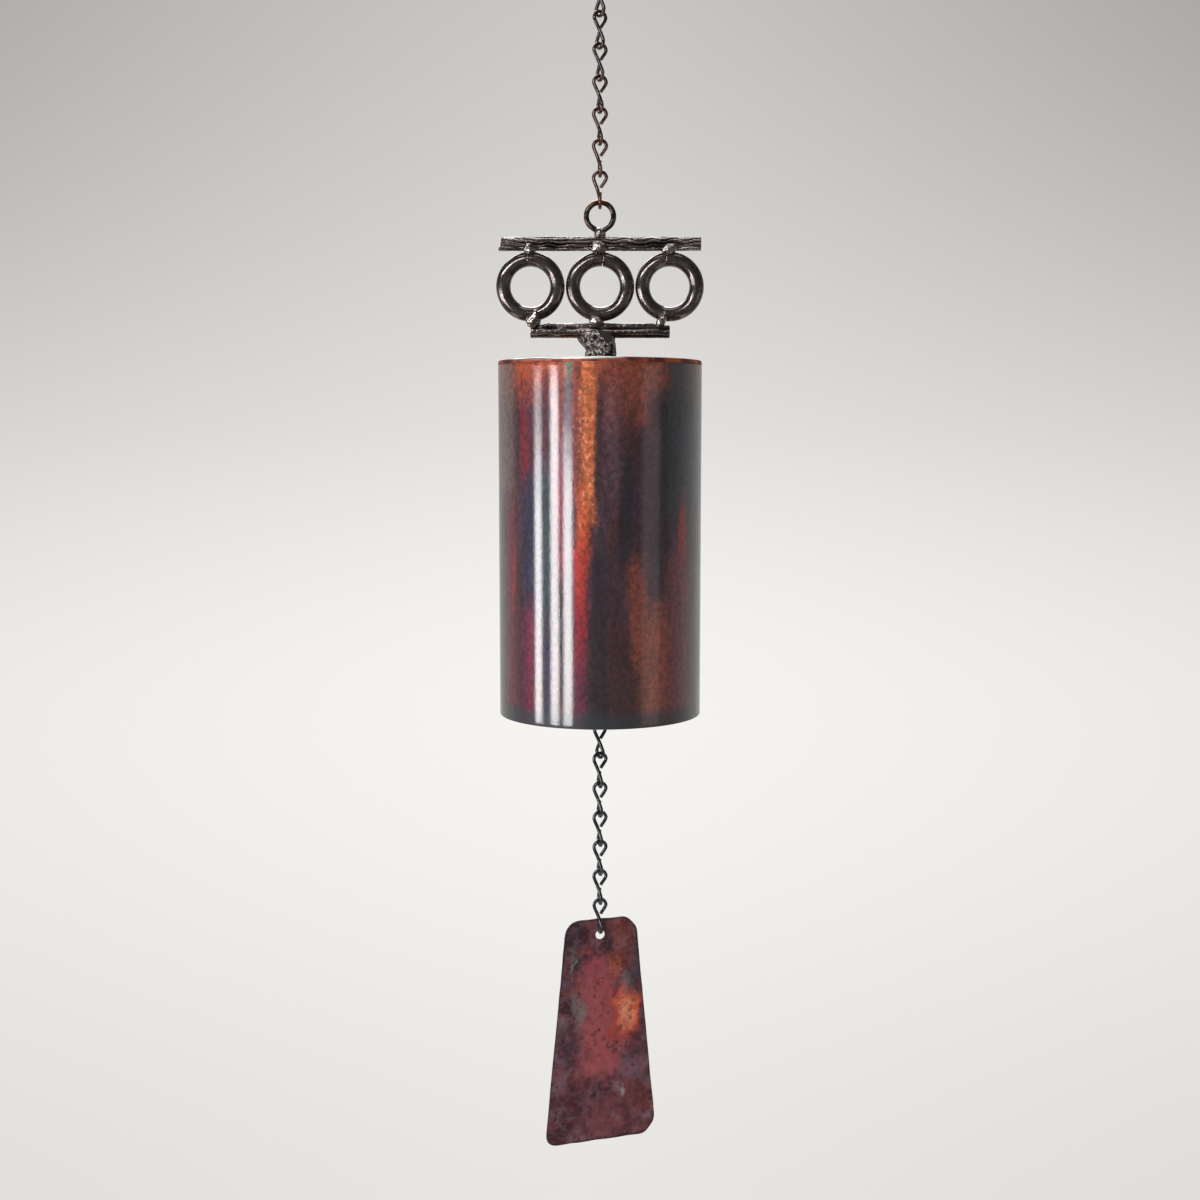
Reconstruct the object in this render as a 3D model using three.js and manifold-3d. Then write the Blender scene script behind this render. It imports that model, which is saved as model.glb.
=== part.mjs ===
// Steel wind bell: a jack chain, a welded ring ornament, a tube bell with its clapper, and a wind sail.
// Millimetres and degrees. +Z is up and the front faces -Y. The origin is the inside of the S-hook's upper
// bend, where the bell hangs, so nearly all of it lies below zero.

import * as THREE from 'three';
import { mergeVertices } from 'three/addons/utils/BufferGeometryUtils.js';
import Module from 'manifold-3d';

// Room left between pieces that touch on the real bell
const clearance = 0.3;

// S-hook of bent wire, its lower bend pinched shut round the chain
const hookWire = 2.5;
const hookSpan = 30; // from bend to bend, between wire centres
const hookUpperBend = 13; // across the bend, between wire centres
const hookLowerBend = 8;
const hookUpperRun = [-25, 205]; // the angles at which the bend starts and ends, from +X towards +Z
const hookLowerRun = [20, -250];

// Jack chain, the same above the bell and below it
const chainWire = 1.57;
const chainPitch = 13.4;
const chainEyeWidth = 7.1; // over the outside of an eye
const chainCrossing = 1.1; // how far off the link's axis the wire crosses from one eye to the other
const chainEndPass = 1.48; // how far off the axis it passes a cut end
const chainEndRise = 1.04; // from the link's middle to a cut end
const upperLinks = 7;
const upperTwist = 6; // turn of each upper link from the link under it
const lowerTurns = [15, 30, 15, 16, 16, 16, 12, 18]; // turn of each lower link, from the top down

// Hanger eye of bent wire, its two legs standing on the top bar
const eyeWire = 2.4;
const eyeWidth = 14.2; // over the outside
const eyeHeight = 15.4; // from its feet to its top
const eyeNeck = 1.8; // straight part of a leg above its foot
const eyeRun = [218, -38]; // the angles between which it is round
const eyeBead = { width: 4.6, depth: 4.1, height: 4.6, forward: 1.7, above: 1.0 };

// Ornament: two grooved bars with three split rings between them
const topBarDiameter = 6.2;
const topBarLength = 87.3;
const topBarRidges = 10;
const topBarGroove = 0.45; // depth
const bottomBarDiameter = 6.8;
const bottomBarLength = 60.5;
const bottomBarRidges = 8;
const bottomBarGroove = 0.7;
const ringDiameter = 29.9; // over the outside
const ringRod = 6.35;
const rings = [
  { name: 'left', splitAt: 97, splitGap: 0.5 },
  { name: 'centre', splitAt: 84, splitGap: 0.9 },
  { name: 'right', splitAt: 98, splitGap: 0.5 },
];

// Weld beads where the rings meet the bars: how far each lies to the right of its ring's centre, how far
// above the joint, and its width and height
const topBeads = [
  { aside: -0.4, above: 1.0, width: 5.2, height: 5.2 },
  { aside: -0.6, above: 1.6, width: 6.8, height: 5.6 },
  { aside: -0.3, above: 0.8, width: 6.2, height: 4.8 },
];
const bottomBeads = [
  { aside: 1.2, above: 0.3, width: 6.2, height: 6.0 },
  { aside: -1.4, above: 0.2, width: 6.4, height: 4.8 },
  { aside: -2.8, above: 0.4, width: 6.6, height: 5.4 },
];
const beadDepth = 4.6;

// Stem of round bar between the ornament and the bell
const stemDiameter = 13.2;
const stemHeight = 9.8; // from the bell's top up to the bottom bar
const stemWaist = 0.2; // how much it narrows halfway up
const stemFlare = 1.2; // weld built up round its head
const footWeld = 1.9; // leg of the weld round its foot

// Bell: a length of steel tube closed by a welded plate
const tubeDiameter = 88.9;
const tubeWall = 2.1;
const tubeLength = 153;
const plateThickness = 2.0;
const seamWidth = 1.4; // how far the plate stays inside the tube's outer edge
const seamShoulder = 0.8; // how far down its outer corner is rounded off
const rimBevel = 0.5;

// Inner eye: a wire staple welded under the plate
const innerEyeWire = 3.0;
const innerEyeWidth = 12; // over the outside
const innerEyeDrop = 9.5; // from the plate down to the lowest point
const innerWeldSize = 1.6;

// Clapper: a drilled length of round bar on a wire, hung from a straight wire hanger
const hangerWire = 2.4;
const hangerEyeWidth = 9.6; // over the outside
const hangerEyeRun = [-40, 215]; // the angles between which an eye is round
const hangerSpan = 94; // between the wire centres at its two ends
const clapperDiameter = 31.75;
const clapperHeight = 25.4;
const clapperBevel = 1.6;
const clapperWireSpan = 51;

// Wind sail: a flat tapered plate hung by a hole near its top edge
const sailThickness = 1.0;
const sailHeight = 104;
const sailTopWidth = 33.6;
const sailBottomWidth = 53.4;
const sailCorner = 6; // length taken off each side at a rounded corner
const sailHole = 4.3;
const sailHoleDrop = 7.2; // from the top edge to the hole's centre

// How finely the round shapes are cut
const tubeSegments = 64;
const barSegments = 24;
const clapperSegments = 32;
const rodSides = 12;
const wireSides = 8;
const thinWireSides = 6;
const bendStep = 30; // degrees between the points that shape a bend

// Sizes that follow from these
const linkSpan = chainPitch + chainWire + clearance;
const chainSeat = chainWire + clearance;
const ringSpacing = ringDiameter + clearance;
const ringCentreRadius = (ringDiameter - ringRod) / 2;
const upperTurn = (link) => upperTwist * (upperLinks - 1 - link);
const lowerLinks = lowerTurns.length;
const sailTurn = lowerTurns[lowerLinks - 1];

// Heights from the hook down. A wire's height is that of its centre.
const hookTopWire = hookWire / 2;
const hookBottomWire = hookTopWire - hookSpan;
const upperTopWire = hookBottomWire + (hookWire + chainWire) / 2 + clearance;
const upperBottomWire = upperTopWire - (upperLinks - 1) * chainPitch - linkSpan;
const eyeTopWire = upperBottomWire + (chainWire + eyeWire) / 2 + clearance;
const eyeFeet = eyeTopWire + eyeWire / 2 - eyeHeight;
const topBarCentre = eyeFeet - clearance - topBarDiameter / 2;
const topJoint = topBarCentre - topBarDiameter / 2 - clearance / 2;
const ringCentre = topJoint - clearance / 2 - ringDiameter / 2;
const bottomJoint = ringCentre - ringDiameter / 2 - clearance / 2;
const bottomBarCentre = bottomJoint - clearance / 2 - bottomBarDiameter / 2;
const plateTop = bottomBarCentre - bottomBarDiameter / 2 - stemHeight;
const tubeTop = plateTop - plateThickness;
const innerEyeBottomWire = tubeTop - innerEyeDrop + innerEyeWire / 2;
const hangerTopWire = innerEyeBottomWire + (innerEyeWire + hangerWire) / 2 + clearance;
const clapperTopWire = hangerTopWire - hangerSpan + hangerWire + clearance;
const clapperBottomWire = clapperTopWire - clapperWireSpan;
const clapperBottom = clapperBottomWire + hangerEyeWidth + clearance;
const lowerTopWire = clapperBottomWire + (hangerWire + chainWire) / 2 + clearance;
const lowerBottomWire = lowerTopWire - (lowerLinks - 1) * chainPitch - linkSpan;
const sailHoleCentre = lowerBottomWire + chainWire / 2 + clearance - sailHole / 2;

// Finishes
const finish = (color, roughness) => new THREE.MeshStandardMaterial({ color, roughness, metalness: 1 });
const darkChain = finish(0x2b2826, 0.45);
const blackChain = finish(0x25272b, 0.5);
const darkBronze = finish(0x3a2e29, 0.3);
const weldMetal = finish(0x51453e, 0.28);
const patina = finish(0x9a4a2e, 0.25);
const brightSeam = finish(0xb98a78, 0.2);
const bareSteel = finish(0x6d6a66, 0.5);
const sailPatina = finish(0x4a1c1c, 0.32);

const wasm = await Module();
wasm.setup();

const radians = THREE.MathUtils.degToRad;
const windBell = new THREE.Group();

// A named piece on the bell, at its place and turned about the vertical
function place(name, geometry, material, { x = 0, y = 0, z = 0, turn = 0 } = {}) {
  const mesh = new THREE.Mesh(geometry, material);
  mesh.name = name;
  mesh.position.set(x, y, z);
  mesh.rotation.z = radians(turn);
  windBell.add(mesh);
}

// A closed geometry as a solid that can be cut
function toSolid(geometry) {
  const bare = geometry.clone();
  bare.deleteAttribute('normal');
  bare.deleteAttribute('uv');
  const merged = mergeVertices(bare, 1e-4);
  const corners = merged.index.array;
  const triVerts = [];
  for (let i = 0; i < corners.length; i += 3) {
    const [a, b, c] = corners.slice(i, i + 3);
    if (a !== b && b !== c && c !== a) triVerts.push(a, b, c);
  }
  return new wasm.Manifold(new wasm.Mesh({
    numProp: 3,
    vertProperties: new Float32Array(merged.attributes.position.array),
    triVerts: new Uint32Array(triVerts),
  }));
}

// A cut solid as a geometry again
function toGeometry(solid) {
  const { vertProperties, triVerts } = solid.getMesh();
  const geometry = new THREE.BufferGeometry();
  geometry.setAttribute('position', new THREE.BufferAttribute(vertProperties, 3));
  geometry.setIndex(new THREE.BufferAttribute(triVerts, 1));
  geometry.computeVertexNormals();
  return geometry;
}

// What is left of a geometry once others are cut from it
function cut(geometry, cutters) {
  return toGeometry(cutters.reduce((solid, cutter) => solid.subtract(toSolid(cutter)), toSolid(geometry)));
}

// A round rod or wire along a curve
function wireAlong(curve, diameter, steps, sides) {
  const section = new THREE.Shape();
  for (let side = 0; side < sides; side++) {
    const angle = (2 * Math.PI * side) / sides;
    section[side ? 'lineTo' : 'moveTo']((diameter / 2) * Math.cos(angle), (diameter / 2) * Math.sin(angle));
  }
  return new THREE.ExtrudeGeometry(section, { steps, extrudePath: curve, bevelEnabled: false });
}

// A smooth curve through points given as [x, y, z]
const through = (points) => new THREE.CatmullRomCurve3(points.map((point) => new THREE.Vector3(...point)));

// Points on a bend in the XZ plane about [0, centreZ], from one angle to another, from +X towards +Z
function bend(centreZ, radius, [from, to]) {
  const count = Math.ceil(Math.abs(to - from) / bendStep);
  const points = [];
  for (let i = 0; i <= count; i++) {
    const angle = radians(from + ((to - from) * i) / count);
    points.push([radius * Math.cos(angle), 0, centreZ + radius * Math.sin(angle)]);
  }
  return points;
}

// A solid of revolution about Z, its profile given as [radius, height] and run anticlockwise
function turned(profile, segments) {
  const points = profile.map(([radius, height]) => new THREE.Vector2(radius, height));
  return new THREE.LatheGeometry(points, segments).rotateX(Math.PI / 2);
}

// A round bar along X with lengthwise grooves between its ridges
function groovedBar(diameter, length, ridges, grooveDepth) {
  const pointCount = 4 * ridges;
  const section = new THREE.Shape();
  for (let i = 0; i < pointCount; i++) {
    const angle = (2 * Math.PI * i) / pointCount;
    const radius = diameter / 2 - (grooveDepth / 2) * (1 - Math.cos(angle * ridges));
    section[i ? 'lineTo' : 'moveTo'](radius * Math.cos(angle), radius * Math.sin(angle));
  }
  const geometry = new THREE.ExtrudeGeometry(section, { depth: length, bevelEnabled: false });
  return geometry.translate(0, 0, -length / 2).rotateY(Math.PI / 2);
}

// The space that a bar along X needs, with clearance all round
function barSpace(diameter, length, z) {
  const radius = diameter / 2 + clearance;
  const space = new THREE.CylinderGeometry(radius, radius, length + 2 * clearance, barSegments);
  return space.rotateZ(Math.PI / 2).translate(0, 0, z);
}

// An uncut weld bead, rounded all over
function bead(width, depth, height, x, y, z) {
  return new THREE.SphereGeometry(0.5, 10, 8).scale(width, depth, height).translate(x, y, z);
}

// A weld round a rod that stands on a face, its outside sloping in from the face up
function ringWeld(rod, leg, segments) {
  const inner = rod / 2 + clearance;
  return turned([[inner, 0], [inner + leg, 0], [inner + leg / 3, leg], [inner, leg], [inner, 0]], segments);
}

// S-hook: the upper bend is open to the front, the lower one is closed against the shank
function sHook() {
  const upper = hookUpperBend / 2;
  const lower = hookLowerBend / 2;
  const upperBend = bend(hookTopWire - upper, upper, hookUpperRun);
  const lowerBend = bend(hookBottomWire + lower, lower, hookLowerRun);
  return wireAlong(through([...upperBend, ...lowerBend]), hookWire, 36, wireSides);
}
place('s_hook', sHook(), bareSteel, { turn: upperTurn(0) + 90 });

// One figure-eight link, its top wire's centre at the origin. The upper eye faces the front and the lower
// eye is square to it. Each cut end lies beside the wire where it leaves the other eye.
function chainLink(lowerEndOffset) {
  const radius = (chainEyeWidth - chainWire) / 2;
  const endOffset = chainSeat - chainEndPass;
  const endDrop = linkSpan / 2 - chainEndRise;
  const upperEye = (offset) => [[offset, 0, -endDrop], ...bend(-radius, radius, [0, 180])];
  const lowerEye = upperEye(lowerEndOffset ?? endOffset).map(([x, y, z]) => [y, x, -linkSpan - z]);
  const crossing = [-chainCrossing, -chainCrossing, -linkSpan / 2];
  return wireAlong(through([...upperEye(endOffset), crossing, ...lowerEye.reverse()]), chainWire, 32, thinWireSides);
}
for (let link = 0; link < upperLinks; link++) {
  const z = upperTopWire - link * chainPitch;
  place(`upper_link_${link + 1}`, chainLink(), darkChain, { z, turn: upperTurn(link) });
}

// Hanger eye: round above, its sides drawn in straight to two legs that stand side by side
function hangerEye(wire) {
  const radius = (eyeWidth - eyeWire) / 2;
  const leg = (eyeWire + clearance) / 2;
  const foot = eyeWire / 2 - eyeHeight;
  const points = [
    [-leg, 0, foot],
    [-leg, 0, foot + eyeNeck],
    ...bend(-radius, radius, eyeRun),
    [leg, 0, foot + eyeNeck],
    [leg, 0, foot],
  ];
  return wireAlong(through(points), wire, 36, wireSides);
}
place('hanger_eye', hangerEye(eyeWire), darkBronze, { z: eyeTopWire });

// Weld on the front of the hanger eye's legs, run down onto the top bar
function eyeWeld() {
  const { width, depth, height, forward, above } = eyeBead;
  return cut(bead(width, depth, height, 0, -forward, eyeFeet + above), [
    hangerEye(eyeWire + 2 * clearance).translate(0, 0, eyeTopWire),
    barSpace(topBarDiameter, topBarLength, topBarCentre),
  ]);
}
place('hanger_eye_weld', eyeWeld(), weldMetal);

// Bars, cut from bar stock whose grooves run lengthwise like bark
const topBar = groovedBar(topBarDiameter, topBarLength, topBarRidges, topBarGroove);
const bottomBar = groovedBar(bottomBarDiameter, bottomBarLength, bottomBarRidges, bottomBarGroove);
place('top_bar', topBar, darkBronze, { z: topBarCentre });
place('bottom_bar', bottomBar, darkBronze, { z: bottomBarCentre });

// A ring bent from round bar, with a narrow split between its ends
class RingPath extends THREE.Curve {
  constructor(radius, splitAt, splitGap) {
    super();
    Object.assign(this, { radius, splitAt, splitGap });
  }
  getPoint(t) {
    const halfGap = this.splitGap / 2 / this.radius;
    const angle = radians(this.splitAt) + halfGap + t * 2 * (Math.PI - halfGap);
    return new THREE.Vector3(this.radius * Math.cos(angle), 0, this.radius * Math.sin(angle));
  }
}
const ringX = (index) => (index - 1) * ringSpacing;
rings.forEach(({ name, splitAt, splitGap }, index) => {
  const ring = wireAlong(new RingPath(ringCentreRadius, splitAt, splitGap), ringRod, 32, rodSides);
  place(`ring_${name}`, ring, darkBronze, { x: ringX(index), z: ringCentre });
});

// Weld beads in the groove between each ring and each bar, at the front and at the back
function ringBead({ aside, above, width, height }, x, joint, side) {
  const ringSpace = new THREE.TorusGeometry(ringCentreRadius, ringRod / 2 + clearance, rodSides, 48);
  return cut(bead(width, beadDepth, height, x + aside, (side * beadDepth) / 2, joint + above), [
    ringSpace.rotateX(Math.PI / 2).translate(x, 0, ringCentre),
    barSpace(topBarDiameter, topBarLength, topBarCentre),
    barSpace(bottomBarDiameter, bottomBarLength, bottomBarCentre),
  ]);
}
rings.forEach(({ name }, index) => {
  for (const [face, side] of [['front', -1], ['back', 1]]) {
    const x = ringX(index);
    place(`weld_top_${name}_${face}`, ringBead(topBeads[index], x, topJoint, side), weldMetal);
    place(`weld_bottom_${name}_${face}`, ringBead(bottomBeads[index], x, bottomJoint, side), weldMetal);
  }
});

// Stem: its head is built up with weld that hugs the bottom bar
function stem() {
  const radius = stemDiameter / 2;
  const head = stemHeight + bottomBarDiameter / 2;
  const flareStart = (stemHeight + bottomBarDiameter / 4) * 0.7;
  const body = turned([
    [0, 0],
    [radius, 0],
    [radius - stemWaist, stemHeight / 2],
    [radius, flareStart],
    [radius + stemFlare, stemHeight + bottomBarDiameter / 4],
    [radius + stemFlare / 2, head],
    [0, head],
  ], barSegments);
  return cut(body, [barSpace(bottomBarDiameter, bottomBarLength, head)]);
}
place('stem', stem(), weldMetal, { z: plateTop });
place('stem_weld', ringWeld(stemDiameter, footWeld, barSegments), weldMetal, { z: plateTop });

// Top plate, and the seam that closes the corner between it and the tube
const tubeOuter = tubeDiameter / 2;
const tubeInner = tubeOuter - tubeWall;
const plateRadius = tubeOuter - seamWidth;
const plate = turned([
  [0, -plateThickness],
  [plateRadius, -plateThickness],
  [plateRadius, 0],
  [0, 0],
], tubeSegments);
place('top_plate', plate, bareSteel, { z: plateTop });

const seamInner = plateRadius + clearance;
const topSeam = turned([
  [seamInner, -plateThickness],
  [tubeOuter, -plateThickness],
  [tubeOuter, -seamShoulder],
  [tubeOuter - seamShoulder / 2, 0],
  [seamInner, 0],
  [seamInner, -plateThickness],
], tubeSegments);
place('top_seam', topSeam, brightSeam, { z: plateTop });

// Bell tube, its rim bevelled inside and out
const tube = turned([
  [tubeInner + rimBevel, -tubeLength],
  [tubeOuter - rimBevel, -tubeLength],
  [tubeOuter, rimBevel - tubeLength],
  [tubeOuter, 0],
  [tubeInner, 0],
  [tubeInner, rimBevel - tubeLength],
  [tubeInner + rimBevel, -tubeLength],
], tubeSegments);
place('bell_tube', tube, patina, { z: tubeTop });

// Inner eye: a staple across the bell from front to back, and the weld round each of its legs
const innerEyeRadius = (innerEyeWidth - innerEyeWire) / 2;
const innerEyeArcCentre = innerEyeBottomWire + innerEyeRadius - tubeTop;
const innerEyePath = through([
  [-innerEyeRadius, 0, 0],
  ...bend(innerEyeArcCentre, innerEyeRadius, [180, 360]),
  [innerEyeRadius, 0, 0],
]);
place('inner_eye', wireAlong(innerEyePath, innerEyeWire, 24, wireSides), bareSteel, { z: tubeTop, turn: 90 });
for (const [face, side] of [['front', -1], ['back', 1]]) {
  const weld = ringWeld(innerEyeWire, innerWeldSize, rodSides).rotateX(Math.PI);
  place(`inner_weld_${face}`, weld, weldMetal, { y: side * innerEyeRadius, z: tubeTop });
}

// A straight wire with a closed eye at each end, its top wire's centre at the origin
function eyedWire(span) {
  const radius = (hangerEyeWidth - hangerWire) / 2;
  const shoulder = 2 * radius + hangerWire;
  const topEye = [
    ...bend(-radius, radius, hangerEyeRun),
    [0, 0, -shoulder],
    [0, 0, -shoulder - hangerWire],
  ];
  const bottomEye = topEye.map(([x, y, z]) => [-x, y, -span - z]).reverse();
  return wireAlong(through([...topEye, ...bottomEye]), hangerWire, 56, thinWireSides);
}
place('clapper_hanger', eyedWire(hangerSpan), bareSteel, { z: hangerTopWire });
place('clapper_wire', eyedWire(clapperWireSpan), bareSteel, { z: clapperTopWire, turn: 90 });

// Clapper: it rests on the shoulders of the wire's lower eye
const clapperBore = hangerWire / 2 + clearance;
const clapperOuter = clapperDiameter / 2;
const clapper = turned([
  [clapperBore, 0],
  [clapperOuter - clapperBevel, 0],
  [clapperOuter, clapperBevel],
  [clapperOuter, clapperHeight - clapperBevel],
  [clapperOuter - clapperBevel, clapperHeight],
  [clapperBore, clapperHeight],
  [clapperBore, 0],
], clapperSegments);
place('clapper', clapper, bareSteel, { z: clapperBottom });

// Lower chain. The last link's lower eye is opened to take the sail between its limbs.
const openedEnd = sailThickness / 2 + clearance + chainWire / 2 + clearance;
for (let link = 0; link < lowerLinks; link++) {
  const z = lowerTopWire - link * chainPitch;
  const geometry = link === lowerLinks - 1 ? chainLink(openedEnd) : chainLink();
  place(`lower_link_${link + 1}`, geometry, blackChain, { z, turn: lowerTurns[link] });
}

// Wind sail, its hole's centre at the origin
function windSail() {
  const top = sailHoleDrop;
  const bottom = top - sailHeight;
  const corners = [
    [-sailTopWidth / 2, top],
    [-sailBottomWidth / 2, bottom],
    [sailBottomWidth / 2, bottom],
    [sailTopWidth / 2, top],
  ].map(([x, z]) => new THREE.Vector2(x, z));
  const outline = new THREE.Shape();
  corners.forEach((corner, i) => {
    const before = corners[(i + 3) % 4].clone().sub(corner).setLength(sailCorner).add(corner);
    const after = corners[(i + 1) % 4].clone().sub(corner).setLength(sailCorner).add(corner);
    outline[i ? 'lineTo' : 'moveTo'](before.x, before.y);
    outline.quadraticCurveTo(corner.x, corner.y, after.x, after.y);
  });
  outline.closePath();
  outline.holes.push(new THREE.Path().absarc(0, 0, sailHole / 2, 0, 2 * Math.PI));
  const options = { depth: sailThickness, bevelEnabled: false, curveSegments: 7 };
  return new THREE.ExtrudeGeometry(outline, options).translate(0, 0, -sailThickness / 2).rotateX(Math.PI / 2);
}
place('wind_sail', windSail(), sailPatina, { z: sailHoleCentre, turn: sailTurn });

export default windBell;
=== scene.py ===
"""Looks of a steel wind bell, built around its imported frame.

A bell cut from steel tube hangs on a jack chain below an ornament welded from round bar. A second
chain comes out of its mouth and carries a hammered wind sail. The pieces follow in the order in
which the bell is put together, from the hook down. Shapes are worked out in millimetres.
"""

import math

import bpy
import numpy as np
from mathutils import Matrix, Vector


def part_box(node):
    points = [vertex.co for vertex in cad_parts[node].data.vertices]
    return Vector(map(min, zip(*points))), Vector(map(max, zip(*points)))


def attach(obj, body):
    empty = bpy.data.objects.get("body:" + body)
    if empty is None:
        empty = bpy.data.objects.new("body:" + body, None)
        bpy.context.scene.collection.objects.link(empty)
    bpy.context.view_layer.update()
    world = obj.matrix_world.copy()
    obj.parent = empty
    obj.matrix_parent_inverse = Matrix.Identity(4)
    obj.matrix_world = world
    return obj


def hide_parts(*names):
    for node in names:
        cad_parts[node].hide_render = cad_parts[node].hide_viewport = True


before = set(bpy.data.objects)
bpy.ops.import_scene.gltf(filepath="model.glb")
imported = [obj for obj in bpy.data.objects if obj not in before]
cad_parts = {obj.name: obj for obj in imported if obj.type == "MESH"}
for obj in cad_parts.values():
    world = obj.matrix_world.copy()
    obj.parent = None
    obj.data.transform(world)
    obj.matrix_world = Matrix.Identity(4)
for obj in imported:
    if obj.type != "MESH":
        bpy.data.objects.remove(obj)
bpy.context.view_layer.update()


# S-hook
# Bright steel wire bent into two bends that face opposite ways. The upper, wider bend goes over
# a nail or branch, and the lower one holds the first chain link.

HOOK_WIRE = 2.36
HOOK_UPPER_BEND = 6.5
HOOK_LOWER_BEND = 4.0
HOOK_SPAN = 30.0
HOOK_TOP = 1.25
HOOK_TURN = 126.0
# From and to, in degrees anticlockwise from the right.
HOOK_UPPER_ARC = (-25, 205)
HOOK_LOWER_ARC = (20, -250)


def bend(centre_z, radius, start, end, step=30.0):
    """Arc in the XZ plane, by degrees anticlockwise from +X: x is radius cos, z centre + radius sin."""
    count = math.ceil(abs(end - start) / step)
    angle = np.radians(np.linspace(start, end, count + 1))
    return np.stack([radius * np.cos(angle), 0 * angle, centre_z + radius * np.sin(angle)], axis=1)


def spline(points, samples):
    """Centripetal Catmull-Rom curve through the points, as a dense line of points.

    Between two points it is a cubic with the slopes that the spacing of four neighbours gives,
    where spacing is the square root of the distance. Beyond each end the last step is repeated.
    """
    points = np.asarray(points, float)
    ends = [2 * points[:1] - points[1:2], points, 2 * points[-1:] - points[-2:-1]]
    p0, p1, p2, p3 = (np.concatenate(ends)[i : len(points) - 1 + i] for i in range(4))
    d0, d1, d2 = (
        np.sqrt(np.linalg.norm(b - a, axis=1))[:, None] for a, b in ((p0, p1), (p1, p2), (p2, p3))
    )
    m1 = d1 * ((p1 - p0) / d0 - (p2 - p0) / (d0 + d1) + (p2 - p1) / d1)
    m2 = d1 * ((p2 - p1) / d1 - (p3 - p1) / (d1 + d2) + (p3 - p2) / d2)
    t = np.arange(samples)[:, None, None] / samples
    run = (
        (2 * t**3 - 3 * t**2 + 1) * p1
        + (t**3 - 2 * t**2 + t) * m1
        + (3 * t**2 - 2 * t**3) * p2
        + (t**3 - t**2) * m2
    )
    return np.concatenate([run.transpose(1, 0, 2).reshape(-1, 3), points[-1:]])


def unit(vectors):
    """The vectors, each divided by its length."""
    return vectors / np.linalg.norm(vectors, axis=-1, keepdims=True)


def ripples(points, size, seed):
    """Smooth unevenness between about -1 and 1: the sum of twelve sine waves that cross the points
    in random directions, each as long as size, more or less."""
    waves = 12
    rng = np.random.default_rng(seed)
    way = unit(rng.normal(size=(waves, 3))) / (size * rng.uniform(0.7, 1.5, (waves, 1)))
    phase = rng.uniform(0, 2 * np.pi, waves)
    return np.sin(2 * np.pi * points @ way.T + phase).sum(-1) / (1.2 * math.sqrt(waves))


def circle(count):
    """Angles of this many even steps round a circle, in radians."""
    return np.linspace(0, 2 * np.pi, count, endpoint=False)


def wire(path, diameter, reference=(0, 1, 0), sides=24, rough=0.0, seed=1):
    """Rings of round wire along a path: at each point a circle square to the path, measured from
    the direction square to both the path and the reference. rough is the share of uneven radius."""
    along = unit(np.gradient(path, axis=0))
    side = unit(np.cross(along, reference))
    turn = circle(sides)[None, :, None]
    ring = np.cos(turn) * side[:, None] + np.sin(turn) * np.cross(side, along)[:, None]
    line = path[:, None]
    uneven = 1 - rough * (0.5 + 0.5 * ripples(line + ring * diameter / 2, 2.2 * diameter, seed))
    return line + ring * (diameter / 2 * uneven)[..., None]


def turned(points, degrees, height=0.0):
    """The points turned about the vertical axis, then raised by height."""
    a = math.radians(degrees)
    spin = np.array([[math.cos(a), math.sin(a), 0], [-math.sin(a), math.cos(a), 0], [0, 0, 1]])
    return points @ spin + [0, 0, height]


def surface(name, grid, joined=False, bulge=0.3, **marks):
    """Mesh object of a closed surface, from rows x columns points in millimetres.

    Every row is a ring: its last column meets its first. A joined surface also meets itself from
    the last row to the first. Otherwise each end ring closes over a quarter ellipse that rises by
    bulge to one point. The faces are wound so that the volume they enclose is positive. marks are
    named values for each grid point, kept as attributes.
    """
    extra = [np.broadcast_to(mark, grid.shape[:2])[..., None] for mark in marks.values()]
    values = np.concatenate([grid, *extra], 2)

    def closing(ring, inner):
        middle = ring.mean(0)
        out = np.zeros(len(middle))
        out[:3] = middle[:3] - inner.mean(0)[:3]
        out *= bulge / max(np.linalg.norm(out), 1e-9)
        rise = np.radians([15, 32, 50, 68])[:, None, None]
        return middle + (ring - middle) * np.cos(rise) + out * np.sin(rise), middle + out

    tips = []
    if not joined:
        first, tip_first = closing(values[0], values[1])
        last, tip_last = closing(values[-1], values[-2])
        values = np.concatenate([first[::-1], values, last])
        tips = [tip_first, tip_last]
    rows, columns = values.shape[:2]
    index = np.arange(rows * columns).reshape(rows, columns)
    below = np.roll(index, -1, axis=0) if joined else index[1:]
    here = index if joined else index[:-1]
    quads = np.stack([here, below, np.roll(below, -1, 1), np.roll(here, -1, 1)], 2).reshape(-1, 4)
    flat = np.concatenate([values.reshape(rows * columns, -1), *(t[None] for t in tips)])
    count = rows * columns
    fans = [
        np.stack([index[0], np.roll(index[0], -1), np.full(columns, count)], 1),
        np.stack([np.roll(index[-1], -1), index[-1], np.full(columns, count + 1)], 1),
    ]
    faces = [quads] if joined else [quads, *fans]
    halves = [quads[:, [0, 1, 2]], quads[:, [0, 2, 3]]]
    corners = np.concatenate(halves if joined else [*halves, *fans])
    a, b, c = (flat[corners[:, i], :3] for i in range(3))
    if (a * np.cross(b, c)).sum() < 0:
        faces = [f[:, ::-1] for f in faces]
    mesh = bpy.data.meshes.new(name)
    mesh.from_pydata((flat[:, :3] / 1000).tolist(), [], [f for group in faces for f in group.tolist()])
    for number, mark in enumerate(marks, 3):
        kept = mesh.attributes.new(mark, "FLOAT", "POINT")
        kept.data.foreach_set("value", flat[:, number].astype(np.float32))
    mesh.shade_smooth()
    piece = bpy.data.objects.new(name, mesh)
    bpy.context.scene.collection.objects.link(piece)
    return piece


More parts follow.
